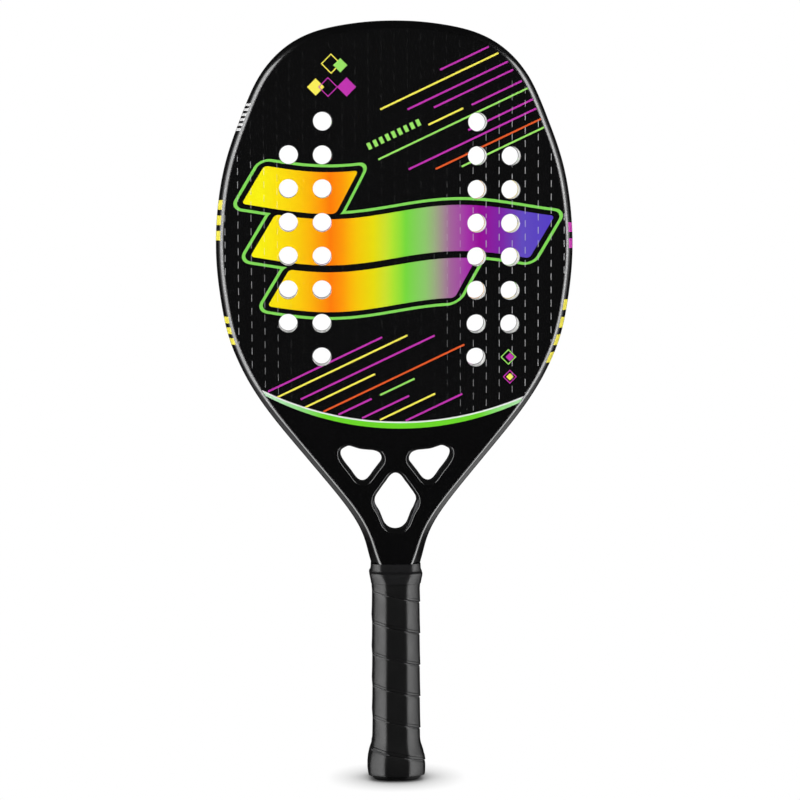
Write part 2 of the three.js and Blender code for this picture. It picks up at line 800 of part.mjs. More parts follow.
// The finishing tape: a thin stepped sleeve over the grip's upper end and the neck
function finishingRings(growth) {
  const overGrip = handleSizes(CLEARANCE + TAPE_THICKNESS + TAPE_PROUD_EDGE + CLEARANCE + growth);
  const lowZ = tapeTopHeight - FINISHING_LAP;
  const highZ = tapeTopHeight + FINISHING_RISE;
  const lap = [sizeAt(overGrip, lowZ), ...overGrip.filter((size) => size.z > lowZ)];
  const step = tapeTopHeight + CLEARANCE + growth;
  const neck = {
    halfX: halfWidthAt(frameOutline, highZ) + CLEARANCE + growth,
    halfY: halfThickness + CLEARANCE + growth,
    chamfer: grownChamfer(neckChamfer, growth),
  };
  return [...lap, { ...lap.at(-1), z: step }, { ...neck, z: step }, { ...neck, z: highZ }];
}

function makeFinishingTape() {
  const bore = finishingRings(0).map(sizeRing);
  const foot = bore[0].map(([x, y, z]) => [x, y, z - CUT_OVERRUN]);
  const head = bore.at(-1).map(([x, y, z]) => [x, y, z + CUT_OVERRUN]);
  return loft(finishingRings(FINISHING_THICKNESS).map(sizeRing)).subtract(loft([foot, ...bore, head]));
}

// The racket, put together
const racket = new THREE.Group();

function place(parent, name, solid, material) {
  const mesh = new THREE.Mesh(toGeometry(solid), material);
  mesh.name = name;
  parent.add(mesh);
  return mesh;
}

function makeHead() {
  const head = new THREE.Group();
  place(head, 'frame_tube', makeFrameTube(), glossComposite);
  place(head, 'core_foam', makeCoreFoam(), foam);
  place(head, 'front_face', makeFaceSheet(-halfThickness, -sheetFloor), texturedComposite);
  place(head, 'rear_face', makeFaceSheet(sheetFloor, halfThickness), texturedComposite);
  return head;
}

function makeThroat() {
  const throat = new THREE.Group();
  place(throat, 'throat_core', makeThroatCore(), foam);
  place(throat, 'throat_front_shell', makeThroatShell(-sheetFloor, -halfThickness), glossComposite);
  place(throat, 'throat_rear_shell', makeThroatShell(sheetFloor, halfThickness), glossComposite);
  for (const window of windows) {
    place(throat, `window_wrap_${window.name}`, makeWindowWrap(window), laminate);
  }
  return throat;
}

function makeHandle() {
  const handle = new THREE.Group();
  place(handle, 'shaft_core', makeShaftCore(), foam);
  place(handle, 'pallet_front', makePallet(-1), handleFoam);
  place(handle, 'pallet_rear', makePallet(1), handleFoam);
  place(handle, 'butt_cap', makeButtCap(), capPlastic);
  place(handle, 'grip_tape', makeGripTape(), softTape);
  place(handle, 'finishing_tape', makeFinishingTape(), thinTape);
  const frontTack = place(handle, 'butt_tack_front', makeTack(), steel);
  frontTack.position.set(0, -tackSeatY, tackHeight);
  const rearTack = place(handle, 'butt_tack_rear', makeTack(), steel);
  rearTack.position.set(0, tackSeatY, tackHeight);
  rearTack.rotation.z = Math.PI;
  return handle;
}

racket.add(makeHead(), makeThroat(), makeHandle());

export default racket;
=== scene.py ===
import functools
import math

import bmesh
import bpy
import numpy as np
from mathutils import Matrix, Vector
from mathutils.geometry import tessellate_polygon


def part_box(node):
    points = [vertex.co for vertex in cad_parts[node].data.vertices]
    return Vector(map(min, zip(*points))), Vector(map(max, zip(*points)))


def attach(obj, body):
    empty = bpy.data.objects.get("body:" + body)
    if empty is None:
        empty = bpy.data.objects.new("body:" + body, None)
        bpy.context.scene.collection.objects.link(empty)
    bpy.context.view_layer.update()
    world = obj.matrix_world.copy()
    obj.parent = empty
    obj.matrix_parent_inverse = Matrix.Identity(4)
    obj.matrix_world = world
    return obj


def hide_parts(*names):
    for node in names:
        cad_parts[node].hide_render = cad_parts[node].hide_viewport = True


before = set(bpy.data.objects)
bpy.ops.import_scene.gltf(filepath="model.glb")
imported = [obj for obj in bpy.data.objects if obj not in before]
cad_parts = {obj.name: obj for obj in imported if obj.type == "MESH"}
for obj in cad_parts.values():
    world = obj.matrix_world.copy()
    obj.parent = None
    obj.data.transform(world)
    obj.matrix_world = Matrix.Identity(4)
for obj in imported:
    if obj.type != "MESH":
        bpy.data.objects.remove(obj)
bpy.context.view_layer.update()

mm = 0.001

# The camera stands where the photographer's stood: a long lens, a little to the racket's left and as high
# as the top of its face, looking slightly down. The angles are in degrees.
CAMERA_PLACE = Vector((-64.6, -1840, 422.9)) * mm
CAMERA_YAW = math.radians(2.114)
CAMERA_PITCH = math.radians(-5.298)
CAMERA_ROLL = math.radians(-0.206)
CAMERA_LENS = 126.35
CAMERA_SENSOR = 36

flat_right = Vector((math.cos(CAMERA_YAW), -math.sin(CAMERA_YAW), 0))
look = Vector((math.sin(CAMERA_YAW), math.cos(CAMERA_YAW), math.tan(CAMERA_PITCH))).normalized()
true_up = flat_right.cross(look)
camera_right = flat_right * math.cos(CAMERA_ROLL) + true_up * math.sin(CAMERA_ROLL)
camera_up = true_up * math.cos(CAMERA_ROLL) - flat_right * math.sin(CAMERA_ROLL)
lens = bpy.data.cameras.new("camera")
lens.sensor_width = CAMERA_SENSOR
lens.lens = CAMERA_LENS
lens.clip_end = 200
camera = bpy.data.objects.new("camera", lens)
turned = Matrix((camera_right, camera_up, -look)).transposed().to_4x4()
camera.matrix_world = Matrix.Translation(CAMERA_PLACE) @ turned
bpy.context.scene.collection.objects.link(camera)
bpy.context.scene.camera = camera
bpy.context.scene.view_settings.view_transform = "Standard"

# The studio is a white floor in a white surround. To the camera the floor glows white, darkened near the
# racket into a painted contact shadow. The black lacquer mirrors a dark room with a tall softbox at each
# side, which draws the pale line down the frame's shoulder, and a dim glow low at each side.
FLOOR_REACH = {"side": 1.2, "front": -1.0, "rear": 1.0}
FLOOR_DROP = 0.2 * mm
ROOM_LIGHT = 0.16
ROOM_GLOSS = 0.015
LOW_GLOW = {"left": 0.6, "right": 1.2}
GLOW_LOW = (-0.4, -0.8)
GLOW_SIDE = (0.3, 0.65)
PAINTED_SHADOW_REACH = 28 * mm
PAINTED_SHADOW_DEPTH = 1.6
WHITE = (1, 1, 1, 1)


class Reading:
    """What one socket says at each point of a surface. Sums and products of readings are Math nodes."""

    def __init__(self, finish, socket):
        self.finish = finish
        self.socket = socket

    def math(self, operation, *others):
        return self.finish.node("Math", {"operation": operation}, dict(enumerate((self, *others))))

    def fraction(self):
        return self.math("FRACT")

    def least(self, other):
        return self.math("MINIMUM", other)

    def most(self, other):
        return self.math("MAXIMUM", other)

    def out(self, name):
        return Reading(self.finish, self.socket.node.outputs[name])

    def __add__(self, other):
        return self.math("ADD", other)

    def __sub__(self, other):
        return self.math("SUBTRACT", other)

    def __mul__(self, other):
        return self.math("MULTIPLY", other)

    def __truediv__(self, other):
        return self.math("DIVIDE", other)

    def __rsub__(self, other):
        return self * -1 + other

    __radd__ = __add__
    __rmul__ = __mul__

    def __lt__(self, other):
        return self.math("LESS_THAN", other)

    def __gt__(self, other):
        return self.math("GREATER_THAN", other)

    def __pow__(self, other):
        return self.math("POWER", other)

    def __abs__(self):
        return self.math("ABSOLUTE")


class Finish:
    """The nodes of one surface, from its place in millimetres to its shader."""

    def __init__(self, tree):
        self.tree = tree
        tree.nodes.clear()

    def node(self, kind, settings=None, sockets=None):
        node = self.tree.nodes.new("ShaderNode" + kind)
        for name, value in (settings or {}).items():
            if name == "stops":
                ramp = node.color_ramp.elements
                while len(ramp) < len(value):
                    ramp.new(1)
                for stop, (place, color) in zip(ramp, value):
                    stop.position = place
                    stop.color = color
            else:
                setattr(node, name, value)
        for name, value in (sockets or {}).items():
            if isinstance(value, Reading):
                self.tree.links.new(value.socket, node.inputs[name])
            else:
                node.inputs[name].default_value = value
        return Reading(self, node.outputs[0] if node.outputs else None)

    def mixed(self, low, high, share):
        """The colour low where the share is 0, and the colour high where it is 1."""
        mix = self.node("Mix", {"data_type": "RGBA"}, {0: share, 6: low, 7: high})
        return Reading(self, mix.socket.node.outputs[2])

    def where(self):
        """Where a point lies on the racket, in millimetres."""
        metres = self.node("TexCoord").out("Object")
        return self.node("VectorMath", {"operation": "SCALE"}, {0: metres, 3: 1 / mm})

    def place(self):
        """Where a point lies, in millimetres: across, through and up, and all three at once."""
        where = self.where()
        split = self.node("SeparateXYZ", None, {0: where})
        return split.out("X"), split.out("Y"), split.out("Z"), where

    def noise(self, where, scale, detail):
        return self.node("TexNoise", None, {"Vector": where, "Scale": scale, "Detail": detail})

    def bump(self, height, strength, distance):
        return self.node("Bump", None, {"Strength": strength, "Distance": distance, "Height": height})

    def eased(self, value, start, end):
        """0 before the start, 1 beyond the end, and a soft slope between them."""
        soft = {"interpolation_type": "SMOOTHSTEP"}
        return self.node("MapRange", soft, {"Value": value, 1: start, 2: end, 3: 0, 4: 1})

    def shade(self, color, roughness, normal=None, constants=None):
        """The surface's shader, with what is the same all over set on its own sockets."""
        sockets = {"Base Color": color, "Roughness": roughness, **(constants or {})}
        if normal is not None:
            sockets["Normal"] = normal
        shader = self.node("BsdfPrincipled", None, sockets)
        self.node("OutputMaterial", None, {"Surface": shader})


world = bpy.data.worlds.new("surround")
bpy.context.scene.world = world
world.use_nodes = True
surround = Finish(world.node_tree)
ray = surround.node("LightPath")
seen = ray.out("Is Camera Ray").most(ray.out("Is Transmission Ray"))
glossy = ray.out("Is Glossy Ray")
heading = surround.node("SeparateXYZ", None, {0: surround.node("TexCoord").out("Generated")})
lowness = surround.eased(heading.out("Z"), *GLOW_LOW)
sideways = surround.eased(abs(heading.out("X")), *GLOW_SIDE)
on_right = heading.out("X") > 0
glow = lowness * sideways * (LOW_GLOW["left"] + on_right * (LOW_GLOW["right"] - LOW_GLOW["left"]))
strength = seen + (1 - seen) * (glossy * (glow + ROOM_GLOSS) + (1 - glossy) * ROOM_LIGHT)
backdrop = surround.node("Background", None, {"Color": WHITE, "Strength": strength})
surround.node("OutputWorld", None, {"Surface": backdrop})


def surface(name):
    """A new material and its empty finish."""
    material = bpy.data.materials.new(name)
    material.use_nodes = True
    return material, Finish(material.node_tree)


def mesh_piece(name, corners, faces, material, flat_faces=(), crease=35):
    """A closed piece from its corners and faces, smooth but for creases and its flat faces."""
    mesh = bpy.data.meshes.new(name)
    mesh.from_pydata([tuple(corner) for corner in corners], [], faces)
    mesh.polygons.foreach_set("use_smooth", [index not in flat_faces for index in range(len(faces))])
    mesh.set_sharp_from_angle(angle=math.radians(crease))
    outward = bmesh.new()
    outward.from_mesh(mesh)
    bmesh.ops.recalc_face_normals(outward, faces=outward.faces)
    outward.to_mesh(mesh)
    outward.free()
    mesh.materials.append(material)
    piece = bpy.data.objects.new(name, mesh)
    bpy.context.scene.collection.objects.link(piece)
    return piece


floor_look, floor_finish = surface("studio_floor")
lit_floor = floor_finish.node("BsdfDiffuse", None, {"Color": WHITE})
# The floor glows white to the camera, and occlusion near the racket darkens it into a painted contact
# shadow.
shadow_openness = floor_finish.node("AmbientOcclusion", {"samples": 16}, {"Distance": PAINTED_SHADOW_REACH}).out("AO")
painted_shadow_floor = floor_finish.node("Emission", None, {"Color": WHITE, "Strength": shadow_openness ** PAINTED_SHADOW_DEPTH})
floor_ray = floor_finish.node("LightPath").out("Is Camera Ray")
floor_shader = floor_finish.node("MixShader", None, {0: floor_ray, 1: lit_floor, 2: painted_shadow_floor})
floor_finish.node("OutputMaterial", None, {"Surface": floor_shader})
floor_corners = [(x * FLOOR_REACH["side"], FLOOR_REACH[end], -FLOOR_DROP)
                 for x, end in ((-1, "front"), (1, "front"), (1, "rear"), (-1, "rear"))]
studio_floor = mesh_piece("studio_floor", floor_corners, [(0, 1, 2, 3)], floor_look)
studio_floor.visible_glossy = False

# Each lamp: its bearing from the front, its width, its lowest and highest point, how bright it is, and
# whether gloss shows it
LAMP_DISTANCE = 2.4
LAMPS = {
    "left_softbox": (-50, 1.06, -2.0, 2.1, 5.6, True),
    "right_softbox": (53, 0.75, -2.0, 2.1, 6.2, True),
    "left_wing": (-71, 0.6, -1.6, 2.1, 0.6, True),
    "right_wing": (71, 0.6, -1.6, 2.1, 0.7, True),
    "rear_left_fill": (-130, 1.2, -0.6, 2.1, 4.4, False),
    "rear_right_fill": (130, 1.2, -0.6, 2.1, 4.4, False),
    "rear_left_strip": (-130, 0.35, -0.5, 2.1, 2.2, True),
    "rear_right_strip": (130, 0.35, -0.5, 2.1, 2.2, True),
}

for name, (bearing, width, low, high, brightness, in_gloss) in LAMPS.items():
    lamp = bpy.data.lights.new(name, "AREA")
    lamp.shape = "RECTANGLE"
    lamp.size = width
    lamp.size_y = high - low
    lamp.energy = brightness * math.pi * width * (high - low)
    light = bpy.data.objects.new(name, lamp)
    turn = math.radians(bearing)
    level = Vector((LAMP_DISTANCE * math.sin(turn), -LAMP_DISTANCE * math.cos(turn), 0))
    light.location = level + Vector((0, 0, (low + high) / 2))
    light.rotation_euler = (-level).to_track_quat("-Z", "Y").to_euler()
    light.visible_camera = False
    light.visible_glossy = in_gloss
    bpy.context.scene.collection.objects.link(light)

# The frame is one moulded carbon tube, bent round the head and down both legs, which join in a tang inside
# the handle. It has rounded shoulders, and a rebate on both faces for the sheets. It is sprayed gloss black,
# and short bars are printed on its edge.
TUBE_WIDTH = 13.7 * mm
HALF_THICKNESS = 11 * mm
SHEET_THICKNESS = 1.2 * mm

# The shoulder's shape on the head and on the legs: how far in from the edge, and how deep under the face
HEAD_SHOULDER = [(4.65, 0), (4.0, 0.26), (3.3, 0.59), (2.6, 1.0), (2.0, 1.43), (1.3, 2.12), (0.7, 3.1),
                 (0.35, 4.1), (0.13, 5.3), (0.04, 6.8), (0.01, 8.8), (0, 11)]
LEG_SHOULDER = [(5, 0), (4.55, 0.19), (4.15, 0.41), (3.8, 0.66), (3.4, 1.02), (2.9, 1.55), (2.2, 2.38),
                (1.4, 3.45), (0.8, 4.45), (0.4, 5.5), (0.15, 6.9), (0.03, 8.8), (0, 11)]
SHOULDER_STEP = 0.3
SHOULDER_POINTS = 40
SHOULDER_EASE = 12
LEG_SHAPE_HEIGHTS = (225 * mm, 268 * mm)
LEG_SPREAD = 0.85 * mm
LEG_SPREAD_HEIGHTS = (155 * mm, 178 * mm, 212 * mm, 245 * mm)
LINE_STEP = 1.5 * mm
LINE_EASE = 7 * mm
CURVE_STEPS = 16
LEG_END = 127 * mm
LEG_RUN_OUT = 30 * mm
SHEET_SEAM = 0.16 * mm
TANG_HALF_WIDTH = 9.2 * mm
TANG_HALF_DEPTH = 6.9 * mm
TANG_FOOT = 3.1 * mm
TANG_TOP = LEG_END - 2 * mm
TOUCH = 0.02 * mm
EDGE_INSET = 0.04 * mm
COAT = {"Coat Weight": 1.0, "Coat Roughness": 0.07}

# The tang's eight corners, as shares of its half width and half depth
TANG_RING = [(1, -0.6), (1, 0.6), (0.6, 1), (-0.6, 1), (-1, 0.6), (-1, -0.6), (-0.6, -1), (0.6, -1)]


def crease_line(node, depth, lowest):
    """The chain of a solid's edges that lie at one depth, as x and z, from its left end to its right."""
    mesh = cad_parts[node].data
    key = {v.index: (round(v.co.x / TOUCH), round(v.co.z / TOUCH)) for v in mesh.vertices
           if abs(v.co.y - depth) < TOUCH and v.co.z > lowest}
    neighbours = {}
    for face in mesh.polygons:
        for a, b in face.edge_keys:
            if a in key and b in key and key[a] != key[b]:
                neighbours.setdefault(key[a], set()).add(key[b])
                neighbours.setdefault(key[b], set()).add(key[a])
    left = set(neighbours)
    chains = []
    while left:
        ends = sorted(k for k in left if len(neighbours[k] & left) < 2)
        here = ends[0] if ends else min(left)
        chain = [here]
        left.discard(here)
        while neighbours[here] & left:
            here = min(neighbours[here] & left)
            chain.append(here)
            left.discard(here)
        chains.append(chain)
    widest = max(chains, key=lambda chain: max(k[0] for k in chain) - min(k[0] for k in chain))
    return np.array(widest, float) * TOUCH


def evened(line, reach, closed):
    """The line with its bends evened out over a number of points, and its ends kept."""
    count = int(3 * reach)
    weights = np.exp(-0.5 * (np.arange(-count, count + 1) / reach) ** 2)
    weights /= weights.sum()
    if closed:
        wide = np.concatenate([line[-count:], line, line[:count]])
    else:
        before = 2 * line[0] - line[count:0:-1]
        after = 2 * line[-1] - line[-2:-count - 2:-1]
        wide = np.concatenate([before, line, after])
    return np.stack([np.convolve(wide[:, axis], weights, "valid") for axis in (0, 1)], axis=1)


def stepped(line, step, closed):
    """Points at even steps along a line."""
    path = np.concatenate([line, line[:1]]) if closed else line
    lengths = np.concatenate([[0], np.cumsum(np.linalg.norm(np.diff(path, axis=0), axis=1))])
    count = max(int(round(lengths[-1] / step)), 3)
    marks = np.linspace(0, lengths[-1], count + 1)
    if closed:
        marks = marks[:-1]
    return np.stack([np.interp(marks, lengths, path[:, axis]) for axis in (0, 1)], axis=1)


def fine_line(points, step, ease, closed=False):
    """A smooth line through the points, in even steps, with its bends evened out over a length."""
    points = np.asarray(points, float)
    if closed:
        ring = np.concatenate([points[-1:], points, points[:2]])
    else:
        ring = np.concatenate([2 * points[:1] - points[1:2], points, 2 * points[-1:] - points[-2:-1]])
    dense = []
    for p0, p1, p2, p3 in zip(ring, ring[1:], ring[2:], ring[3:]):
        t1 = math.sqrt(np.linalg.norm(p1 - p0))
        t2 = t1 + math.sqrt(np.linalg.norm(p2 - p1))
        t3 = t2 + math.sqrt(np.linalg.norm(p3 - p2))
        for share in np.arange(CURVE_STEPS) / CURVE_STEPS:
            t = t1 + share * (t2 - t1)
            a1 = p0 + (p1 - p0) * t / t1
            a2 = p1 + (p2 - p1) * (t - t1) / (t2 - t1)
            a3 = p2 + (p3 - p2) * (t - t2) / (t3 - t2)
            b1 = a1 + (a2 - a1) * t / t2
            b2 = a2 + (a3 - a2) * (t - t1) / (t3 - t1)
            dense.append(b1 + (b2 - b1) * (t - t1) / (t2 - t1))
    if not closed:
        dense.append(points[-1])
    line = stepped(np.array(dense), step, closed)
    once = evened(line, ease / step, closed)
    return 2 * once - evened(once, ease / step, closed)


def inward(line, closed=False):
    """The direction to the right of the way along the line, at each of its points."""
    if closed:
        along = np.roll(line, -1, axis=0) - np.roll(line, 1, axis=0)
    else:
        along = np.gradient(line, axis=0)
    along /= np.linalg.norm(along, axis=1)[:, None]
    return np.stack([along[:, 1], -along[:, 0]], axis=1)


def distance_to(line, points):
    """How far each point lies from a line."""
    start = line[:-1]
    side = line[1:] - start
    size = (side ** 2).sum(axis=1)
    nearest = []
    for point in points:
        share = np.clip(((point - start) * side).sum(axis=1) / size, 0, 1)
        nearest.append(np.linalg.norm(start + side * share[:, None] - point, axis=1).min())
    return np.array(nearest)


edge_line = fine_line(crease_line("frame_tube", 0, LEG_END - LEG_RUN_OUT), LINE_STEP, LINE_EASE)
edge_line = edge_line[edge_line[:, 1] > LEG_END]
edge_inward = inward(edge_line)
edge_line = edge_line + edge_inward * EDGE_INSET
crest_line = crease_line("frame_tube", -HALF_THICKNESS, LEG_END)
shoulder = distance_to(crest_line, edge_line)
shoulder += np.interp(edge_line[:, 1], LEG_SPREAD_HEIGHTS, (0, LEG_SPREAD, LEG_SPREAD, 0))
shoulder = evened(np.stack([shoulder, shoulder], axis=1), SHOULDER_EASE, False)[:, 0]


def ring_faces(rows, size, closed_rows=False):
    """Quads between rows of rings, and from the last row back to the first if they close."""
    faces = []
    for row in range(rows if closed_rows else rows - 1):
        for i in range(size):
            a = row * size + i
            b = row * size + (i + 1) % size
            c = (row + 1) % rows * size + (i + 1) % size
            d = (row + 1) % rows * size + i
            faces.append((a, b, c, d))
    return faces


def shifted(faces, start):
    """The faces of a form whose corners follow others, counted on from a start."""
    return [tuple(start + corner for corner in face) for face in faces]


def swept(sections, hollow=False):
    """Corners and faces of a body through closed sections of as many points each. It has flat ends, or it is
    hollow and its last section leads back to the first."""
    size = len(sections[0])
    corners = [corner for section in sections for corner in section]
    ends = [] if hollow else [tuple(range(size)), tuple(range(len(corners) - size, len(corners)))]
    return corners, ring_faces(len(sections), size, hollow) + ends


def shoulder_curve(shape):
    """A smooth curve through a shoulder's points: its share of the width, and what is left of the depth."""
    curve = fine_line(shape, SHOULDER_STEP, SHOULDER_STEP)
    spots = np.linspace(0, len(curve) - 1, SHOULDER_POINTS)
    inset, depth = [np.interp(spots, np.arange(len(curve)), curve[:, axis]) for axis in (0, 1)]
    return inset / shape[0][0], 1 - depth * mm / HALF_THICKNESS


head_curve = shoulder_curve(HEAD_SHOULDER)
leg_curve = shoulder_curve(LEG_SHOULDER)


def tube_section(index):
    """The tube's section at one place on the edge line: two shoulders, two rebates and the inner wall."""
    reach = shoulder[index]
    floor = HALF_THICKNESS - SHEET_THICKNESS
    on_head = float(np.interp(edge_line[index][1], LEG_SHAPE_HEIGHTS, (0, 1)))
    width = leg_curve[0] + (head_curve[0] - leg_curve[0]) * on_head
    leg_rise = leg_curve[1] ** (reach / (LEG_SHOULDER[0][0] * mm))
    head_rise = head_curve[1]
    rise = leg_rise + (head_rise - leg_rise) * on_head
    upper = [(reach * share, HALF_THICKNESS * left) for share, left in zip(width, rise)]
    lower = [(inset, -y) for inset, y in reversed(upper[:-1])]
    points = [(TUBE_WIDTH, floor), (reach, floor)] + upper + lower + [(reach, -floor), (TUBE_WIDTH, -floor)]
    x, z = edge_line[index]
    in_x, in_z = edge_inward[index]
    return [(x + in_x * depth, y, z + in_z * depth) for depth, y in points]


tube_corners, tube_faces = swept([tube_section(index) for index in range(len(edge_line))])

LACQUER_BLACK = (0.0016, 0.0016, 0.0018, 1)
FLECK_GREY = (0.3, 0.3, 0.31, 1)
FLECK_SHARE = 0.57
FLECK_STRENGTH = 0.6
FLECK_DEPTHS = (10.5, 11.1)
FLECK_HEIGHTS = (245, 468)
FLECK_FROM = 60
BAR_YELLOW = (0.9, 0.8, 0.08, 1)
BAR_MAGENTA = (0.6, 0.05, 0.45, 1)
BAR_WHITE = (0.78, 0.78, 0.78, 1)
BAR_HALF_LENGTH = 10.25

# The bars on the frame's edge: ink, lowest and highest point, side, pitch and the bar's share of it
EDGE_BARS = [
    (BAR_YELLOW, 358, 388, -1, 10, 0.62), (BAR_YELLOW, 290, 311, -1, 7, 0.62),
    (BAR_WHITE, 429, 447, -1, 3.2, 0.5), (BAR_MAGENTA, 352, 373, 1, 10.5, 0.6),
    (BAR_YELLOW, 277, 323, 1, 11.5, 0.6),
]


def band(value, low, high):
    """1 where a reading lies between two numbers, and 0 elsewhere."""
    return value.math("COMPARE", (low + high) / 2, (high - low) / 2)


lacquer, coat = surface("gloss_black_lacquer")
across, through, up, where = coat.place()
peel = coat.noise(where, 0.35, 2)
scuffs = coat.noise(where, 0.08, 3)
flecks = coat.noise(where, 1.1, 3)
paint = LACQUER_BLACK
for ink, low, high, side, pitch, share in EDGE_BARS:
    bars = ((up - low) / pitch).fraction() < share
    on_edge = (across * side > 0) * band(through, -BAR_HALF_LENGTH, BAR_HALF_LENGTH)
    paint = coat.mixed(paint, ink, band(up, low, high) * bars * on_edge)
bonded_edge = band(abs(through), *FLECK_DEPTHS) * band(up, *FLECK_HEIGHTS) * (abs(across) > FLECK_FROM)
paint = coat.mixed(paint, FLECK_GREY, bonded_edge * (flecks > FLECK_SHARE) * FLECK_STRENGTH)
coat.shade(paint, 0.18 + scuffs * 0.12, coat.bump(peel, 0.04, 0.0002), COAT)

tang_corners, tang_faces = swept([[(x * TANG_HALF_WIDTH, y * TANG_HALF_DEPTH, height) for x, y in TANG_RING]
                                  for height in (TANG_FOOT, TANG_TOP)])
tube_faces += shifted(tang_faces, len(tube_corners))
tube_corners += tang_corners
tube = mesh_piece("gloss_frame_tube", tube_corners, tube_faces, lacquer)
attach(tube, "root")
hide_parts("frame_tube")

# The head's core is a white foam board between the two sheets. Its edge shows only in the walls of the air
# holes, which are drilled through all three layers at once, and there it has shrunk back a little.
ARC_RADIUS = 205 * mm
ARC_SHIFT = 4 * mm
ABOVE_ARC_STEPS = 161
BELOW_ARC_STEPS = 121
HOLE_SIDES = 64
FOAM_SHRINK = 0.3 * mm
FOAM_GAP = 0.4 * mm
FOAM_ARC_GAP = 0.2 * mm
FOAM_WHITE = (0.97, 0.97, 0.96, 1)
FOAM_PORE = (0.8, 0.8, 0.79, 1)

arc_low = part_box("front_face")[0].z
arc_centre = np.array([ARC_SHIFT, arc_low + ARC_RADIUS])


def flat_loops(node, depth):
    """The closed outlines of a solid's flat faces at one depth, each as x and z."""
    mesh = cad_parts[node].data
    ahead = {}
    for face in mesh.polygons:
        if all(abs(mesh.vertices[v].co.y - depth) < TOUCH for v in face.vertices):
            ring = [mesh.vertices[v].co for v in face.vertices]
            ring = [(round(c.x / TOUCH), round(c.z / TOUCH)) for c in ring]
            for a, b in zip(ring, ring[1:] + ring[:1]):
                if (b, a) in ahead:
                    del ahead[(b, a)]
                else:
                    ahead[(a, b)] = True
    follow = {}
    for a, b in ahead:
        follow.setdefault(a, []).append(b)
    loops = []
    while follow:
        here = min(follow)
        loop = []
        while here in follow:
            loop.append(here)
            onward = follow[here].pop()
            if not follow[here]:
                del follow[here]
            here = onward
        loops.append(np.array(loop, float) * TOUCH)
    return sorted(loops, key=lambda loop: -np.ptp(loop[:, 0]))


def arc_piece(start, end, radius, steps):
    """Points along the arc of a radius, between the bearings of two points from its centre."""
    turns = [np.arctan2(*(point - arc_centre)[::-1]) for point in (start, end)]
    turns = np.linspace(*[turn if turn < 0 else turn - 2 * math.pi for turn in turns], steps)
    return arc_centre + radius * np.stack([np.cos(turns), np.sin(turns)], axis=1)


def clockwise(loop):
    """The loop turned so that its inside lies to the right of the way along it."""
    x, z = loop[:, 0], loop[:, 1]
    area = (x * np.roll(z, -1) - np.roll(x, -1) * z).sum()
    return loop if area < 0 else loop[::-1]


def drilled_ring(loop):
    """A fine circle in place of a hole's coarse outline."""
    middle = (loop.min(axis=0) + loop.max(axis=0)) / 2
    radius = np.linalg.norm(loop - middle, axis=1).max()
    turns = -np.arange(HOLE_SIDES) * 2 * math.pi / HOLE_SIDES
    return middle + radius * np.stack([np.cos(turns), np.sin(turns)], axis=1)


def board(name, outline, openings, material, crease=35):
    """A board with openings. The outline and each opening come with their edge: how far the line has moved
    out from its place, and how deep, from the board's outer side to its inner side."""
    corners = []
    faces = []
    rims = []
    for loop, edge, growing in [outline] + openings:
        loop = clockwise(loop)
        away = -inward(loop, closed=True)
        start = len(corners)
        size = len(loop)
        for growth, depth in edge:
            moved = loop + away * growth
            corners += [(x, depth, z) for x, z in moved]
        quads = shifted(ring_faces(len(edge), size), start)
        faces += quads if growing else [quad[::-1] for quad in quads]
        rims.append((start, start + (len(edge) - 1) * size, size))
    flats = set()
    for side in (0, 1):
        rings = [[corners[rim[side] + i] for i in range(rim[2])] for rim in rims]
        index = [rim[side] + i for rim in rims for i in range(rim[2])]
        flat = [[Vector((x, z, 0)) for x, y, z in ring] for ring in rings]
        for triangle in tessellate_polygon(flat):
            flats.add(len(faces))
            faces.append(tuple(index[i] for i in triangle))
    return mesh_piece(name, corners, faces, material, flats, crease)


def above_arc(line, gap):
    """The part of the sheets' outline that lies over the arc, closed along the arc."""
    over = line[np.linalg.norm(line - arc_centre, axis=1) < ARC_RADIUS - gap]
    return np.concatenate([over, arc_piece(over[-1], over[0], ARC_RADIUS - gap, ABOVE_ARC_STEPS)])


core_line = edge_line + edge_inward * (TUBE_WIDTH + FOAM_GAP)
sheet_line = edge_line + edge_inward * (shoulder + SHEET_SEAM)[:, None]
holes = [drilled_ring(loop) for loop in flat_loops("front_face", -HALF_THICKNESS)[1:]]
core_depth = HALF_THICKNESS - SHEET_THICKNESS - TOUCH
core_edge = [(0, -core_depth), (0, core_depth)]
core_hole = [(FOAM_SHRINK, -core_depth), (FOAM_SHRINK, core_depth)]
foam_board, foam = surface("white_eva_foam")
pores = foam.node("TexVoronoi", None, {"Vector": foam.where(), "Scale": 2.2})
foam.shade(foam.mixed(FOAM_PORE, FOAM_WHITE, pores * 2), 0.8, foam.bump(pores, 0.2, 0.0002))
core_rim = (above_arc(core_line, FOAM_ARC_GAP), core_edge, True)
core = board("foam_core_board", core_rim, [(hole, core_hole, False) for hole in holes], foam_board)
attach(core, "root")
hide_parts("core_foam")

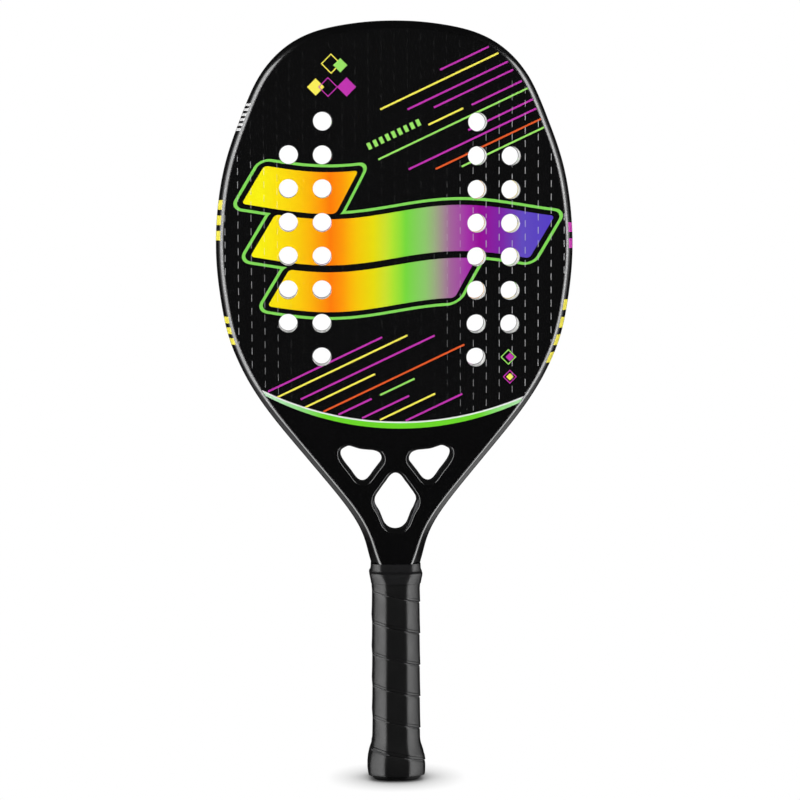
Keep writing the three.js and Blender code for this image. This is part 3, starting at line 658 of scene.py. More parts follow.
# Each face is a thin sheet of resin and fibre, moulded with rows of short raised dashes and dots for spin,
# drilled with the air holes, and printed before its clear coat. It is bonded into the frame's rebate.
DASH_COLUMN_PITCH = 8.5 * mm
DASH_ROW_PITCH = 8.66 * mm
DASH_LENGTH = 4.6 * mm
DASH_WIDTH = 0.5 * mm
DOT_WIDTH = 0.5 * mm
DASH_HEIGHT = 0.17 * mm
DASH_MARGIN = 1.2 * mm
HOLE_MARGIN = 0.7 * mm
DASH_STEPS = 8
EDGE_ROUND = 0.3 * mm
EDGE_STEPS = 4
FACE_BLACK = (0.0027, 0.0027, 0.0029, 1)
MAGENTA = (0.52, 0.035, 0.42, 1)
YELLOW = (0.92, 0.83, 0.1, 1)
ORANGE_RED = (0.74, 0.1, 0.02, 1)
LEAF_GREEN = (0.32, 0.75, 0.13, 1)
KEY_GREEN = (0.22, 0.68, 0.1, 1)
GLINT_GREY = (0.6, 0.6, 0.62, 1)
STRIPE_TURN = math.radians(25.2)
STRIPE_HALF = 0.6
STRIPE_MIDDLE = 350

# A raised mark's rings from its root to its top, as shares of its width and of its height
MARK_SHAPE = [(1, -0.3), (0.86, 0.45), (0.5, 0.9)]

# Upper and lower speed stripes: where each starts and ends along its way, and how far across it lies
STRIPES = {
    "magenta": [
        (77, 112, 94), (47, 119, 80), (63, 120, 73.8), (86, 122, 64.8), (77, 124, 51), (31, 123, 44.7),
        (-114, -31.5, -46.6), (-97, 0, -60.4), (-79, -55, -80.1), (-66, -32, -88.9), (-41, 0, -102.8),
    ],
    "yellow": [(31, 116, 87.6), (55, 80, 65.2), (-110, -16, -52.6), (-97, -46, -66.4), (-56, -16, -95)],
    "orange": [(47, 124, 37.3), (-87, 15, -74.1)],
    "green": [(16, 124, 58.9), (63, 123, 31.5), (-49, -24, -80.3)],
}

# The three flying bands: left end, right end, height and half width
BANDS = [(-92, -31, 393, 13.5), (-86, 96, 361, 15), (-76, 46, 328.5, 13)]
BAND_WAVE = 4.5
BAND_LENGTH = 170
BAND_SLANT = 0.55
BAND_CORNER = 2.2
BAND_SQUARE = 1 / math.sqrt(1 + BAND_SLANT ** 2)
KEYLINE_GAP = 3.2
KEYLINE_WIDTH = 1.8

# The rainbow that all the bands share, by the place across the face
RAINBOW = [
    (-88, (0.95, 0.88, 0.004)), (-62, (0.97, 0.59, 0.001)), (-42, (1, 0.2, 0)), (-34, (1, 0.33, 0)),
    (-25, (0.94, 0.57, 0)), (-14, (0.8, 0.72, 0.002)), (-6, (0.6, 0.75, 0.026)), (-1, (0.41, 0.77, 0.03)),
    (7, (0.18, 0.69, 0.045)), (20, (0.27, 0.56, 0.15)), (28, (0.34, 0.35, 0.24)), (36, (0.36, 0.13, 0.32)),
    (47, (0.36, 0.03, 0.38)), (55, (0.3, 0.003, 0.3)), (70, (0.2, 0.02, 0.38)), (83, (0.12, 0.07, 0.52)),
    (108, (0.08, 0.04, 0.56)),
]
RAINBOW_START = -110
RAINBOW_WIDTH = 220

# Small diamonds near the crown and the throat: place, half width, line width or 0 if filled, and ink
DIAMONDS = [
    (-41, 472, 6.6, 1.0, "yellow"), (-35, 471, 4.6, 0, "green"), (-51, 457, 5.6, 0, "yellow"),
    (-43, 457, 6.4, 0.8, "magenta"), (-31, 457, 6.2, 0, "magenta"), (74, 281, 5.2, 0.9, "green"),
    (75, 281, 2.8, 0, "magenta"), (75, 268, 4.6, 0.8, "magenta"), (75, 268, 2.4, 0, "yellow"),
]
TICK_PITCH = 4.4
TICK_SHARE = 0.56
TICKS_ALONG = (12, 52)
TICKS_OVER = (67, 71.5)


def printed_face(name, side):
    """The clear-coated sheet with its print, seen the same way round from its own side."""
    material, sheet = surface(name)
    x, through, z, where = sheet.place()
    x = x * side
    inks = {"magenta": MAGENTA, "yellow": YELLOW, "orange": ORANGE_RED, "green": LEAF_GREEN}
    turn_cos, turn_sin = math.cos(STRIPE_TURN), math.sin(STRIPE_TURN)
    along = x * turn_cos + (z - STRIPE_MIDDLE) * turn_sin
    over = (z - STRIPE_MIDDLE) * turn_cos - x * turn_sin
    color = FACE_BLACK
    for ink, stripes in STRIPES.items():
        drawn = 0
        for start, end, height in stripes:
            stripe = band(along, start, end) * band(over, height - STRIPE_HALF, height + STRIPE_HALF)
            drawn = stripe + drawn
        color = sheet.mixed(color, inks[ink], drawn)
    ticks = (along * (1 / TICK_PITCH)).fraction() < TICK_SHARE
    color = sheet.mixed(color, LEAF_GREEN, ticks * band(along, *TICKS_ALONG) * band(over, *TICKS_OVER))
    for middle_x, middle_z, half, line, ink in DIAMONDS:
        reach = abs(x - middle_x) + abs(z - middle_z)
        shape = band(reach, half - line, half) if line else reach < half
        color = sheet.mixed(color, inks[ink], shape)
    wave = (x * (2 * math.pi / BAND_LENGTH)).math("SINE") * BAND_WAVE
    nearest = None
    for left, right, height, half in BANDS:
        off = z - height - wave
        from_middle = abs(x - off * BAND_SLANT - (left + right) / 2)
        over_end = (from_middle - (right - left) / 2) * BAND_SQUARE + BAND_CORNER
        over_side = abs(off) - half + BAND_CORNER
        out_end, out_side = over_end.most(0.0), over_side.most(0.0)
        outside = (out_end * out_end + out_side * out_side) ** 0.5
        reach = outside + over_end.most(over_side).least(0.0) - BAND_CORNER
        nearest = reach if nearest is None else nearest.least(reach)
    stops = [((place - RAINBOW_START) / RAINBOW_WIDTH, (*ink, 1)) for place, ink in RAINBOW]
    rainbow = sheet.node("ValToRGB", {"stops": stops}, {"Fac": (x - RAINBOW_START) * (1 / RAINBOW_WIDTH)})
    color = sheet.mixed(color, FACE_BLACK, nearest < KEYLINE_GAP)
    color = sheet.mixed(color, KEY_GREEN, band(nearest, KEYLINE_GAP, KEYLINE_GAP + KEYLINE_WIDTH))
    color = sheet.mixed(color, rainbow, nearest < 0)
    # The raised marks near the rims get a painted highlight in pale grey.
    color = sheet.mixed(color, GLINT_GREY, painted_glint_marks(sheet, x, z, abs(through), where))
    grain = sheet.noise(where, 1.1, 3)
    relief = sheet.bump(grain + sheet.noise(where, 0.06, 1) * 6, 0.12, 0.0001)
    sheet.shade(color, 0.18 + grain * 0.06, relief, COAT)
    return material


# The moulded marks get a painted highlight towards both rims, where they also stand tallest: on the right
# below a slanting line and beyond a steep one, and on the left beyond an upright one. Each line is followed
# by the width over which the painted highlight comes in.
GLINT_SLANT = 1.49
GLINT_START = 352
GLINT_FADE = 45
STEEP_SLANT = 0.12
STEEP_START = 62
STEEP_FADE = 48
LEFT_START = 66
LEFT_FADE = 34
LEFT_TOP = 412
GLINT_PALENESS = 0.65
GLINT_LEAST = 0.35
LEFT_SHARE = 0.7
FILLED_MARK_RISE = 0.08
MARK_LIFT = 0.02


def glint_zone_shares(x, z, held):
    """How far the marks of the right side and of the left side lie in the painted highlight zones, each held
    from 0 to 1.
    """
    below = held((x * GLINT_SLANT + GLINT_START - z) * (1 / GLINT_FADE))
    beyond = held((x + z * STEEP_SLANT - STEEP_START) * (1 / STEEP_FADE))
    return below * beyond, held((x * -1 - LEFT_START) * (1 / LEFT_FADE)) * (z < LEFT_TOP)


def painted_glint_marks(sheet, x, z, depth, where):
    """How strong the painted highlight on the raised marks is at each point of a face."""
    patches = sheet.noise(where, 0.045, 3)
    right, left = glint_zone_shares(x, z, lambda share: share.most(0.0).least(1.0))
    raised = depth > HALF_THICKNESS / mm + MARK_LIFT
    return raised * right.most(left * LEFT_SHARE) * (patches + GLINT_LEAST) * GLINT_PALENESS


def rounded_edge(side, out):
    """The edge of a sheet: rounded over at its outer side, straight down to its inner side."""
    rows = []
    for step in range(EDGE_STEPS + 1):
        turn = math.pi / 2 * step / EDGE_STEPS
        inset = EDGE_ROUND * (1 - math.sin(turn))
        rows.append((out * inset, side * (HALF_THICKNESS - EDGE_ROUND * (1 - math.cos(turn)))))
    rows.append((0, side * (HALF_THICKNESS - SHEET_THICKNESS)))
    return rows


def mark_height(x, z, side):
    """The print fills the mould's marks over the middle of the face, and leaves them tall near its rims."""
    glint_zone = max(glint_zone_shares(-x * side / mm, z / mm, lambda share: np.clip(share, 0, 1)))
    return DASH_HEIGHT * (FILLED_MARK_RISE + (1 - FILLED_MARK_RISE) * glint_zone)


def raised_mark(x, z, length, width, side):
    """Corners and faces of one low rounded dash that stands on the sheet, or of a dot."""
    rise = mark_height(x, z, side)
    straight = max(length - width, 0) / 2
    rings = []
    for share, height in MARK_SHAPE:
        ring = []
        for step in range(DASH_STEPS):
            turn = 2 * math.pi * (step + 0.5) / DASH_STEPS
            end = straight if math.sin(turn) > 0 else -straight
            ring.append((
                x + share * width / 2 * math.cos(turn),
                side * (HALF_THICKNESS + height * rise),
                z + end + share * width / 2 * math.sin(turn),
            ))
        rings.append(ring)
    return swept(rings)


def crossings(line, x):
    """The heights at which an outline crosses the upright line at x."""
    after = np.roll(line, -1, axis=0)
    crossing = (line[:, 0] - x) * (after[:, 0] - x) < 0
    a, b = line[crossing], after[crossing]
    return sorted(a[:, 1] + (b[:, 1] - a[:, 1]) * (x - a[:, 0]) / (b[:, 0] - a[:, 0]))


def face_marks(outline, side):
    """All the dashes and dots of one face, clear of its rim and of the air holes."""
    hole_middles = np.array([hole.mean(axis=0) for hole in holes])
    hole_radius = np.linalg.norm(holes[0][0] - hole_middles[0])
    corners = []
    faces = []
    columns = int(np.ptp(outline[:, 0]) / DASH_COLUMN_PITCH) * 2
    for column in range(-columns // 2, columns // 2 + 1):
        x = column * DASH_COLUMN_PITCH / 2
        ends = crossings(outline, x)
        if len(ends) < 2:
            continue
        dashed = column % 2 == 0
        length, width = (DASH_LENGTH, DASH_WIDTH) if dashed else (DOT_WIDTH, DOT_WIDTH)
        offset = DASH_ROW_PITCH / 2 if column % 4 == 0 else 0
        pitch = DASH_ROW_PITCH if dashed else DASH_ROW_PITCH / 2
        low, high = ends[0] + DASH_MARGIN, ends[-1] - DASH_MARGIN
        for row in range(int(low / pitch), int(high / pitch) + 1):
            z = row * pitch + offset
            bottom, top = max(z - length / 2, low), min(z + length / 2, high)
            for middle in hole_middles:
                clear = hole_radius + HOLE_MARGIN
                if abs(x - middle[0]) < clear:
                    reach = math.sqrt(clear ** 2 - (x - middle[0]) ** 2)
                    if bottom < middle[1] + reach and top > middle[1] - reach:
                        if z > middle[1]:
                            bottom = max(bottom, middle[1] + reach)
                        else:
                            top = min(top, middle[1] - reach)
            if top - bottom < width:
                continue
            mark_corners, mark_faces = raised_mark(x, (bottom + top) / 2, top - bottom, width, side)
            faces += shifted(mark_faces, len(corners))
            corners += mark_corners
    return corners, faces


def joined(piece, corners, faces):
    """Adds closed forms to a piece's mesh, in its first material."""
    mesh = bpy.data.meshes.new(piece.name + "_marks")
    mesh.from_pydata(corners, [], faces)
    mesh.polygons.foreach_set("use_smooth", [True] * len(faces))
    grown = bmesh.new()
    grown.from_mesh(mesh)
    bmesh.ops.recalc_face_normals(grown, faces=grown.faces)
    grown.from_mesh(piece.data)
    grown.to_mesh(piece.data)
    grown.free()
    bpy.data.meshes.remove(mesh)


for side_name, side in (("front", -1), ("rear", 1)):
    outline = above_arc(sheet_line, 0)
    sheet_finish = printed_face("printed_sheet_" + side_name, -side)
    holes_cut = [(hole, rounded_edge(side, 1), False) for hole in holes]
    sheet_rim = (outline, rounded_edge(side, -1), True)
    sheet_piece = board("textured_sheet_" + side_name, sheet_rim, holes_cut, sheet_finish)
    joined(sheet_piece, *face_marks(outline, side))
    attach(sheet_piece, "root")
    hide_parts(side_name + "_face")

# The throat is closed on both faces by a smooth moulded shell that laps under the sheet at the arc. Its
# three windows are rolled inward at their rims, and the arc is printed on it in green, under a painted
# highlight in white along its top edge.
WINDOW_STEP = 0.5 * mm
WINDOW_EASE = 0.7 * mm

# The left window's rim and the right half of the centre window's rim, as x and z in millimetres
SIDE_WINDOW = [(-33.7, 221.3), (-30.8, 222.5), (-27.2, 221.6), (-23.3, 220.4), (-18.5, 219.8), (-14, 219.3),
               (-10.7, 217.8), (-9.1, 214.8), (-9.3, 212.4), (-11.4, 209.4), (-14.5, 205.4), (-17, 201.9),
               (-19.2, 199.7), (-21.7, 198.9), (-24.1, 199.7), (-26.3, 202), (-29.1, 206), (-32.4, 210.2),
               (-34.9, 214), (-36, 217.2), (-35.5, 220)]
CENTRE_WINDOW = [(0, 204.5), (2.5, 203.6), (4.4, 201.7), (6.3, 199), (8.3, 196.4), (10.4, 193.4),
                 (12.1, 191), (13.3, 188.7), (13.7, 186.3), (13.4, 184), (12.5, 182), (11.2, 179.9),
                 (10.1, 177.8), (9.2, 175.5), (8.3, 173.2), (7.4, 171.1), (6, 169.3), (4.2, 167.8),
                 (2.2, 167), (0, 166.7)]

# The rim from the face inward: how far outside the opening's line, and how deep under the face. It is a
# narrow slanting crease, then a steep flange in to the lip, and back up the flange's hidden side.
RIM_SHAPE = [(2.4, 0), (2.3, 0.02), (2.22, 0.05), (1.96, 0.19), (1.88, 0.29), (1.8, 0.6), (1.63, 1.2),
             (1.4, 2.0), (1.15, 2.9), (0.84, 4.0), (0.45, 5.2), (0.15, 6.2), (0.7, 6.2), (1.1, 4.8),
             (1.7, 3.0), (2.3, 1.9), (3.2, 1.2)]

SHELL_FOOT = 140.2 * mm
SHELL_ARC_GAP = 0.1 * mm
THROAT_BLACK = (0.0012, 0.0012, 0.0014, 1)
ARC_HIGHLIGHT_WIDTH = 1.05
ARC_GREEN_WIDTH = 3.6
ARC_HALF = 90
ARC_THINNING = 0.6
MINT_START = 0.55
MINT_BLEND = 0.1
MINT_GAIN = 2
MINT_LESS = 1.15
ARC_GREEN = (0.15, 0.68, 0.02, 1)
ARC_MINT = (0.6, 0.85, 0.66, 1)
ARC_HIGHLIGHT_WHITE = (0.85, 0.86, 0.85, 1)

windows = {
    "left": SIDE_WINDOW,
    "right": [(-x, z) for x, z in SIDE_WINDOW],
    "centre": CENTRE_WINDOW + [(-x, z) for x, z in CENTRE_WINDOW[-2:0:-1]],
}
window_lines = {name: fine_line(np.array(points) * mm, WINDOW_STEP, WINDOW_EASE, closed=True)
                for name, points in windows.items()}

shell_look, shell_finish = surface("smooth_throat_shell")
across, _, up, where = shell_finish.place()
arc_x = across - ARC_SHIFT / mm
arc_z = up - float(arc_centre[1]) / mm
below = (arc_x * arc_x + arc_z * arc_z) ** 0.5 - ARC_RADIUS / mm
share = arc_x * (1 / ARC_HALF)
green_width = (1 - share * share * ARC_THINNING) * ARC_GREEN_WIDTH + ARC_HIGHLIGHT_WIDTH
mint = abs(share).math("SMOOTH_MAX", MINT_START, MINT_BLEND) * MINT_GAIN - MINT_LESS
arc_ink = shell_finish.mixed(ARC_GREEN, ARC_MINT, mint)
shell_color = shell_finish.mixed(THROAT_BLACK, arc_ink, below < green_width)
# A painted highlight in white along the arc's top edge, where the shell meets the sheet.
shell_color = shell_finish.mixed(shell_color, ARC_HIGHLIGHT_WHITE, below < ARC_HIGHLIGHT_WIDTH)
flow = shell_finish.noise(where, 0.3, 2)
shell_finish.shade(shell_color, 0.22 + flow * 0.06, shell_finish.bump(flow, 0.05, 0.0002), COAT)


def below_arc(line, gap):
    """The part of an outline that lies under the arc, closed along it and across the foot."""
    outside = np.linalg.norm(line - arc_centre, axis=1) > ARC_RADIUS + gap
    low = (line[:, 1] > SHELL_FOOT) & (line[:, 1] < arc_centre[1]) & outside
    left = line[low & (line[:, 0] < 0)]
    right = line[low & (line[:, 0] > 0)]
    arc = arc_piece(left[-1], right[0], ARC_RADIUS + gap, BELOW_ARC_STEPS)
    return np.concatenate([left, arc, right])


def rolled_rim(side):
    """The rim of a window on one side of the racket."""
    return [(growth * mm, side * (HALF_THICKNESS - depth * mm)) for growth, depth in RIM_SHAPE]


for side_name, side in (("front", -1), ("rear", 1)):
    openings = [(line, rolled_rim(side), False) for line in window_lines.values()]
    shell_rim = (below_arc(sheet_line, SHELL_ARC_GAP), rounded_edge(side, -1), True)
    shell = board("throat_shell_" + side_name, shell_rim, openings, shell_look, crease=40)
    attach(shell, "root")
    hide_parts("throat_" + side_name + "_shell")

# Each window is lined with a thin wrap of the same laminate, pressed against the foam when the throat was
# moulded. The foam itself and the shaft's core are out of sight between the shells.
WRAP_THICKNESS = 1 * mm
WRAP_HALF_DEPTH = 4.7 * mm
WRAP_SWELL = 0.12 * mm
WRAP_BLACK = (0.006, 0.006, 0.0065, 1)
WRAP_GREY = (0.014, 0.014, 0.015, 1)

wrap_look, wrap_finish = surface("satin_laminate")
weave = wrap_finish.noise(wrap_finish.where(), 0.9, 3)
wrap_color = wrap_finish.mixed(WRAP_BLACK, WRAP_GREY, weave)
wrap_finish.shade(wrap_color, 0.3 + weave * 0.2, wrap_finish.bump(weave, 0.15, 0.0002))
wrap_edge = [(WRAP_SWELL, -WRAP_HALF_DEPTH), (0, -WRAP_HALF_DEPTH / 2), (0, WRAP_HALF_DEPTH / 2),
             (WRAP_SWELL, WRAP_HALF_DEPTH)]
outer_edge = [(WRAP_THICKNESS, -WRAP_HALF_DEPTH), (WRAP_THICKNESS, WRAP_HALF_DEPTH)]
for window, line in window_lines.items():
    wrap = board("lined_window_" + window, (line, outer_edge, True), [(line, wrap_edge, False)], wrap_look)
    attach(wrap, "root")
    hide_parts("window_wrap_" + window)

# The filler between the throat's shells and down the shaft is a light grey structural foam with fine pores.
# It sets between the tube's legs in the mould, and nothing of it shows on the finished racket.
FILLER_PORE = (0.05, 0.05, 0.055, 1)
FILLER_GREY = (0.09, 0.09, 0.095, 1)

grey_foam, filler = surface("grey_filler_foam")
cells = filler.node("TexVoronoi", None, {"Vector": filler.where(), "Scale": 1.6})
filler.shade(filler.mixed(FILLER_PORE, FILLER_GREY, cells), 0.9, filler.bump(cells, 0.4, 0.0003))
for node in ("throat_core", "shaft_core"):
    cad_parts[node].material_slots[0].material = grey_foam

# Two half shells of tan structural foam are glued round the legs to make the eight-sided handle. They are
# wholly covered by the cap and the tape.
TAN_DARK = (0.4, 0.33, 0.18, 1)
TAN_PALE = (0.52, 0.44, 0.26, 1)

tan_foam, pallet = surface("tan_handle_foam")
skin = pallet.noise(pallet.where(), 0.7, 4)
pallet.shade(pallet.mixed(TAN_DARK, TAN_PALE, skin), 0.85, pallet.bump(skin, 0.3, 0.0003))
for node in ("pallet_front", "pallet_rear"):
    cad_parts[node].material_slots[0].material = tan_foam

# The butt cap is an injection-moulded cup, flared below and pressed over the foot of the handle. Its floor
# has a dished middle with the hole for a wrist cord.
HANDLE_CHAMFER = 8.2 * mm
CAP_FLOOR = 3 * mm
CAP_WALL = 1.5 * mm
CAP_INNER_CUT = HANDLE_CHAMFER - 0.9 * mm
CAP_BLACK = (0.001, 0.001, 0.001, 1)
CAP_GREY = (0.002, 0.002, 0.002, 1)
HANDLE_HALF_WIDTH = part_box("pallet_front")[1].x
HANDLE_HALF_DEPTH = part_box("pallet_rear")[1].y
CAP_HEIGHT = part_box("butt_cap")[1].z
CAP_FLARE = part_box("butt_cap")[1].x - HANDLE_HALF_WIDTH
GRIP_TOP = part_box("grip_tape")[1].z
COLLAR_FOOT = 129.5 * mm
COLLAR_HALF_WIDTH = 15 * mm
COLLAR_HALF_DEPTH = 11.9 * mm
COLLAR_CHAMFER = 8.2 * mm
SIDE_STEPS = 18
OCTAGON_GROWTH = 2 - math.sqrt(2)
BEVEL_SLANT = 0.56
BEVEL_BOW = 0.36 * mm
CORNER_SOFTNESS = 1.5

# The cap's flare on its way up: the share of its height, and the share of the flare
CAP_SHARES = [(0, 0.06), (0.012, 0.24), (0.04, 0.5), (0.1, 0.78), (0.19, 0.94), (0.3, 0.99), (0.42, 1),
              (0.62, 0.82), (0.78, 0.45), (0.92, 0.12), (1, 0)]

# The heights of the cap's rings, as shares of its height
CAP_LEVELS = [0, 0.006, 0.014, 0.028, 0.05, 0.08, 0.12, 0.19, 0.3, 0.42, 0.52, 0.62, 0.7, 0.78, 0.85,
              0.92, 1]

# The floor from the cord's hole out to the foot, as radius and height in millimetres
CAP_DISH = [(2.5, 3), (2.5, 1.6), (3, 1.2), (7.2, 0.9), (7.9, 0.15), (8.3, 0)]


def handle_sizes(height):
    """Half width, half depth and corner cut of the bare handle at a height."""
    sizes = [(share * CAP_HEIGHT, HANDLE_HALF_WIDTH + out * CAP_FLARE, HANDLE_HALF_DEPTH + out * CAP_FLARE,
              HANDLE_CHAMFER + OCTAGON_GROWTH * out * CAP_FLARE) for share, out in CAP_SHARES]
    sizes.append((COLLAR_FOOT, HANDLE_HALF_WIDTH, HANDLE_HALF_DEPTH, HANDLE_CHAMFER))
    sizes.append((GRIP_TOP, COLLAR_HALF_WIDTH, COLLAR_HALF_DEPTH, COLLAR_CHAMFER))
    heights = [size[0] for size in sizes]
    return [float(np.interp(height, heights, [size[axis] for size in sizes])) for axis in (1, 2, 3)]


@functools.lru_cache(maxsize=None)
def eight_sides(half_x, half_y, cut, cut_deep, bow):
    """Points round four flats and four bowed bevels, with soft corners, from the right round the front."""
    in_x, in_y = half_x - cut, half_y - cut_deep
    corners = np.array([(half_x, in_y), (half_x, -in_y), (in_x, -half_y), (-in_x, -half_y),
                        (-half_x, -in_y), (-half_x, in_y), (-in_x, half_y), (in_x, half_y)])
    share = np.arange(SIDE_STEPS)[None, :, None] / SIDE_STEPS
    side = np.roll(corners, -1, axis=0) - corners
    outward = np.stack([-side[:, 1], side[:, 0]], axis=1) / np.linalg.norm(side, axis=1)[:, None]
    bows = np.array([0, bow] * 4)[:, None] * outward
    ring = corners[:, None] + side[:, None] * share + bows[:, None] * 4 * share * (1 - share)
    return evened(ring.reshape(-1, 2), CORNER_SOFTNESS, True)


def eight_sided(half_x, half_y, cut, cut_deep, bow, height):
    """A ring of eight sides at a height."""
    sizes = [round(float(size), 6) for size in (half_x, half_y, cut, cut_deep, bow)]
    return [(x, y, height) for x, y in eight_sides(*sizes)]


def cap_ring(height, growth):
    """A ring on the handle's or the cap's surface at a height, moved out by a growth."""
    half_x, half_y, cut = handle_sizes(height)
    half_x, half_y, cut = half_x + growth, half_y + growth, cut + OCTAGON_GROWTH * growth
    return eight_sided(half_x, half_y, cut, cut * BEVEL_SLANT, BEVEL_BOW, height)


cap_plastic, cap_finish = surface("moulded_cap_plastic")
spark = cap_finish.noise(cap_finish.where(), 3, 2)
cap_color = cap_finish.mixed(CAP_BLACK, CAP_GREY, spark)
cap_bump = cap_finish.bump(spark, 0.12, 0.0001)
cap_finish.shade(cap_color, 0.4 + spark * 0.16, cap_bump, {"Specular IOR Level": 0.28})

cap_rings = [cap_ring(share * CAP_HEIGHT, 0) for share in CAP_LEVELS]
cup = (HANDLE_HALF_WIDTH - CAP_WALL, HANDLE_HALF_DEPTH - CAP_WALL, CAP_INNER_CUT,
       CAP_INNER_CUT * BEVEL_SLANT, BEVEL_BOW)
inner_rings = [eight_sided(*cup, height) for height in (CAP_HEIGHT, CAP_FLOOR)]


def round_ring(radius, height):
    """A circle with one point for each point of the cap's rings, at the same angles."""
    points = []
    for x, y, z in cap_rings[0]:
        turn = math.atan2(y, x)
        points.append((radius * math.cos(turn), radius * math.sin(turn), height))
    return points


floor_rings = [round_ring(radius * mm, height * mm) for radius, height in CAP_DISH]
cap_piece = mesh_piece("moulded_butt_cap", *swept(cap_rings + inner_rings + floor_rings, True), cap_plastic)
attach(cap_piece, "root")
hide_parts("butt_cap")

# Two small steel tacks with flat round heads hold the cap to the handle's half shells, one on each face.
# Each is driven through the cap's wall until its head is sunk under the surface, where the tape covers it.
TACK_GREY = (0.5, 0.51, 0.53, 1)
TACK_PALE = (0.62, 0.63, 0.65, 1)

tack_look, tack_finish = surface("tack_steel")
brushed = tack_finish.noise(tack_finish.where(), 4, 2)
tack_color = tack_finish.mixed(TACK_GREY, TACK_PALE, brushed)
tack_finish.shade(tack_color, 0.3 + brushed * 0.15, constants={"Metallic": 1.0})
for node in ("butt_tack_front", "butt_tack_rear"):
    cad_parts[node].material_slots[0].material = tack_look

# The grip is one long band of soft black synthetic leather, skived thin along both edges and wound up the
# handle left-handed from the butt. Each turn's lower edge lies over the turn below as a low ridge.
TAPE_PITCH = 21.1 * mm
TAPE_SEAM = 17.3 * mm
TAPE_LOW = 3.3 * mm
TAPE_BASE = 2.1 * mm
TAPE_INSIDE = 0.4 * mm
TAPE_CALM = 127 * mm
TAPE_DENT = 1.75
TAPE_DENT_WIDTH = 0.55
TAPE_CREASE_WIDTH = 0.75
TAPE_TUCK = 1.05
TAPE_TURNS = (-2, 7)
SEAM_GLINT_FROM = 5
SEAM_GLINT_STRENGTH = 0.8
GRIP_BLACK = (0.003, 0.003, 0.0031, 1)
GRIP_GREY = (0.007, 0.007, 0.0072, 1)
SEAM_GLINT_GREY = (0.09, 0.09, 0.092, 1)
DENT_SHADE_BLACK = (0.002, 0.002, 0.002, 1)
TAPE_LEAST = 0.02
CALM_LEAST = 0.1
NOSE_ROUND = 0.5 * mm

# The tape's outer side across its width: the share from its lower edge, and how far it stands out
TAPE_RELIEF = [(0, 0.3), (0.003, 0.3), (0.009, 0.3), (0.018, 0.3), (0.03, 0.29), (0.05, 0.27), (0.066, 0.26),
               (0.075, 0.2), (0.083, 0.09), (0.091, 0.19), (0.1, 0.23), (0.15, 0.17), (0.3, 0.05),
               (0.5, -0.03), (0.7, -0.08), (0.85, -0.12), (0.93, -0.14), (0.955, -0.2), (0.972, -0.34),
               (0.986, -0.5), (1, -0.62), (1.05, -0.9)]

base_ring = cap_ring(TAPE_CALM, 0)
ring_turns = np.unwrap([math.atan2(-y, x) for x, y, z in base_ring])
turn_size = len(base_ring)


def tape_relief(share):
    """How far the tape's outer side stands out at a share of its width from its lower edge."""
    return float(np.interp(share, *zip(*TAPE_RELIEF))) * mm


def calm(height):
    """How much of the tape's relief is left at a height: little where the finishing tape presses on it."""
    return float(np.interp(height, (TAPE_CALM, GRIP_TOP), (1, CALM_LEAST)))


def tape_section(index):
    """The tape's section at one place of its winding, or nothing where it has run out."""
    turn, spot = divmod(index, turn_size)
    winding = ring_turns[spot] + 2 * math.pi * turn
    edge = TAPE_SEAM + TAPE_PITCH * (winding - math.pi / 2) / (2 * math.pi)
    low = max(0.0, (TAPE_LOW - edge) / TAPE_PITCH)
    high = min(TAPE_TUCK, (GRIP_TOP - edge) / TAPE_PITCH)
    if high - low < TAPE_LEAST:
        return None
    points = []
    for part, _ in TAPE_RELIEF:
        share = low + (high - low) * part / TAPE_TUCK
        rise = (share - low) * TAPE_PITCH
        drop = NOSE_ROUND * (1 - math.sqrt(max(0, 1 - (1 - min(rise / NOSE_ROUND, 1)) ** 2)))
        height = edge + share * TAPE_PITCH
        ring = cap_ring(height, TAPE_BASE + tape_relief(share) * calm(height) - drop)
        points.append(ring[spot])
    for part in (1.0, 0.5, 0.0):
        share = low + (high - low) * part
        ring = cap_ring(edge + share * TAPE_PITCH, TAPE_INSIDE)
        points.append(ring[spot])
    return points


first, last = [turn * turn_size for turn in TAPE_TURNS]
tape_sections = [tape_section(index) for index in range(first, last)]
tape_corners, tape_faces = swept([section for section in tape_sections if section])

leather, grip = surface("soft_grip_leather")
across, through, up, where = grip.place()
hide = grip.node("TexVoronoi", {"feature": "DISTANCE_TO_EDGE"}, {"Vector": where, "Scale": 1.4})
fine = grip.noise(where, 1.8, 4)
broad = grip.noise(where, 0.12, 2)
winding = through.math("ARCTAN2", across * -1) * (-1 / (2 * math.pi))
over_seam = ((up - TAPE_SEAM / mm) * (mm / TAPE_PITCH) + winding - 0.25).fraction() * (TAPE_PITCH / mm)
# Along the top of each turn, just under the next turn's edge, the bevels get a painted highlight.
glint_zone = (over_seam > TAPE_PITCH / mm - TAPE_CREASE_WIDTH) * (abs(across) > SEAM_GLINT_FROM)
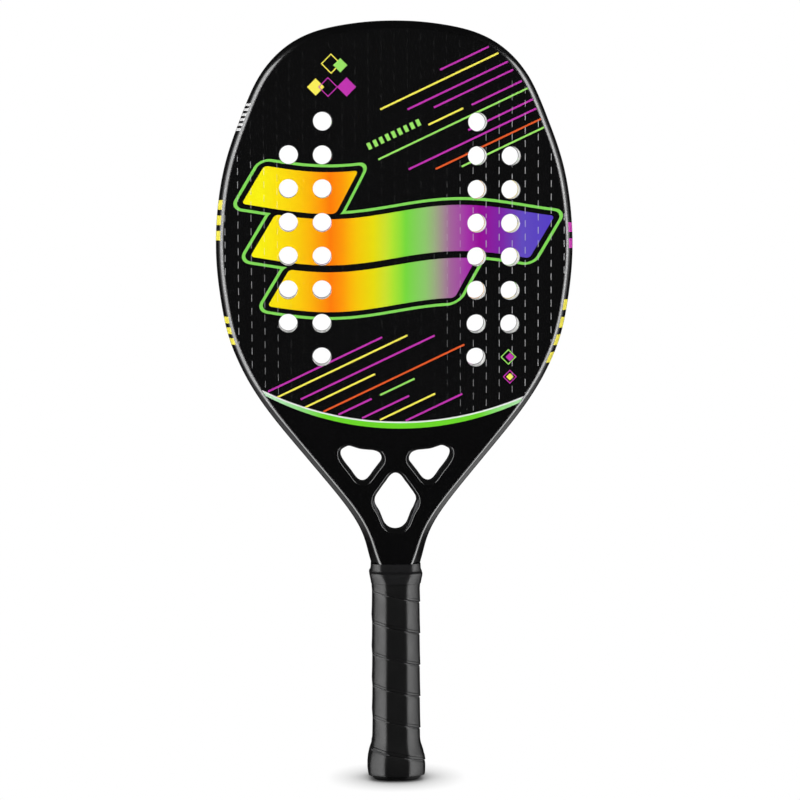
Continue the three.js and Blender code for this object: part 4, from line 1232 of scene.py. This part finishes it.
# The dent a little above each turn's lower edge gets a painted shade.
dent_shade = band(over_seam, TAPE_DENT - TAPE_DENT_WIDTH / 2, TAPE_DENT + TAPE_DENT_WIDTH / 2)
grip_color = grip.mixed(GRIP_BLACK, GRIP_GREY, fine)
grip_color = grip.mixed(grip_color, SEAM_GLINT_GREY, glint_zone * SEAM_GLINT_STRENGTH)
grip_color = grip.mixed(grip_color, DENT_SHADE_BLACK, dent_shade)
grip.shade(grip_color, 0.3 + broad * 0.12, grip.bump(fine + hide * 0.5, 0.22, 0.00015))
tape = mesh_piece("wound_grip", tape_corners, tape_faces, leather, crease=60)
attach(tape, "root")
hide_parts("grip_tape")

# The finishing tape is a band of thin stretchy vinyl, wound tight over the top end of the grip and onto the
# neck, so that it dips from the grip's edge to the neck.

# Its rings: height, half width, half depth, corner cut across and through, and bevel bow
FINISHING_ROWS = [
    (131.5, 16.3, 14.7, 10, 5.5, 0.35), (131.7, 16.45, 14.85, 10, 5.5, 0.35),
    (133, 16.65, 14.85, 9.8, 5.4, 0.35), (135, 17.05, 14.8, 9.5, 5.2, 0.35),
    (136.6, 17.4, 14.7, 9.2, 5.0, 0.35), (137.5, 17.52, 14.5, 9.0, 4.9, 0.35),
    (138.2, 17.48, 14.1, 8.6, 4.7, 0.4), (138.7, 17.25, 13.5, 8.2, 4.5, 0.4),
    (139.2, 16.85, 12.8, 7.6, 4.2, 0.4), (139.8, 16.6, 12.2, 7.0, 3.9, 0.4),
    (140.8, 16.45, 11.9, 6.8, 3.8, 0.4), (144.4, 16.3, 11.4, 6.6, 3.7, 0.4),
]

# How much less each size of a row is on the band's inner side
FINISHING_LOSS = (0, 0.35, 0.35, 0.2, 0.2, 0)
VINYL_BLACK = (0.005, 0.005, 0.0055, 1)
VINYL_GREY = (0.01, 0.01, 0.0105, 1)

vinyl, wrap_tape = surface("finishing_vinyl")
stretch = wrap_tape.noise(wrap_tape.where(), 0.5, 3)
vinyl_color = wrap_tape.mixed(VINYL_BLACK, VINYL_GREY, stretch)
wrap_tape.shade(vinyl_color, 0.3 + stretch * 0.12, wrap_tape.bump(stretch, 0.2, 0.0002))
outer_rows = [[size * mm for size in row] for row in FINISHING_ROWS]
inner_rows = [[(size - loss) * mm for size, loss in zip(row, FINISHING_LOSS)] for row in FINISHING_ROWS]
band_rings = [eight_sided(*sizes, height) for height, *sizes in outer_rows + inner_rows[::-1]]
finishing = mesh_piece("finishing_band", *swept(band_rings, True), vinyl)
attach(finishing, "root")
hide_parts("finishing_tape")
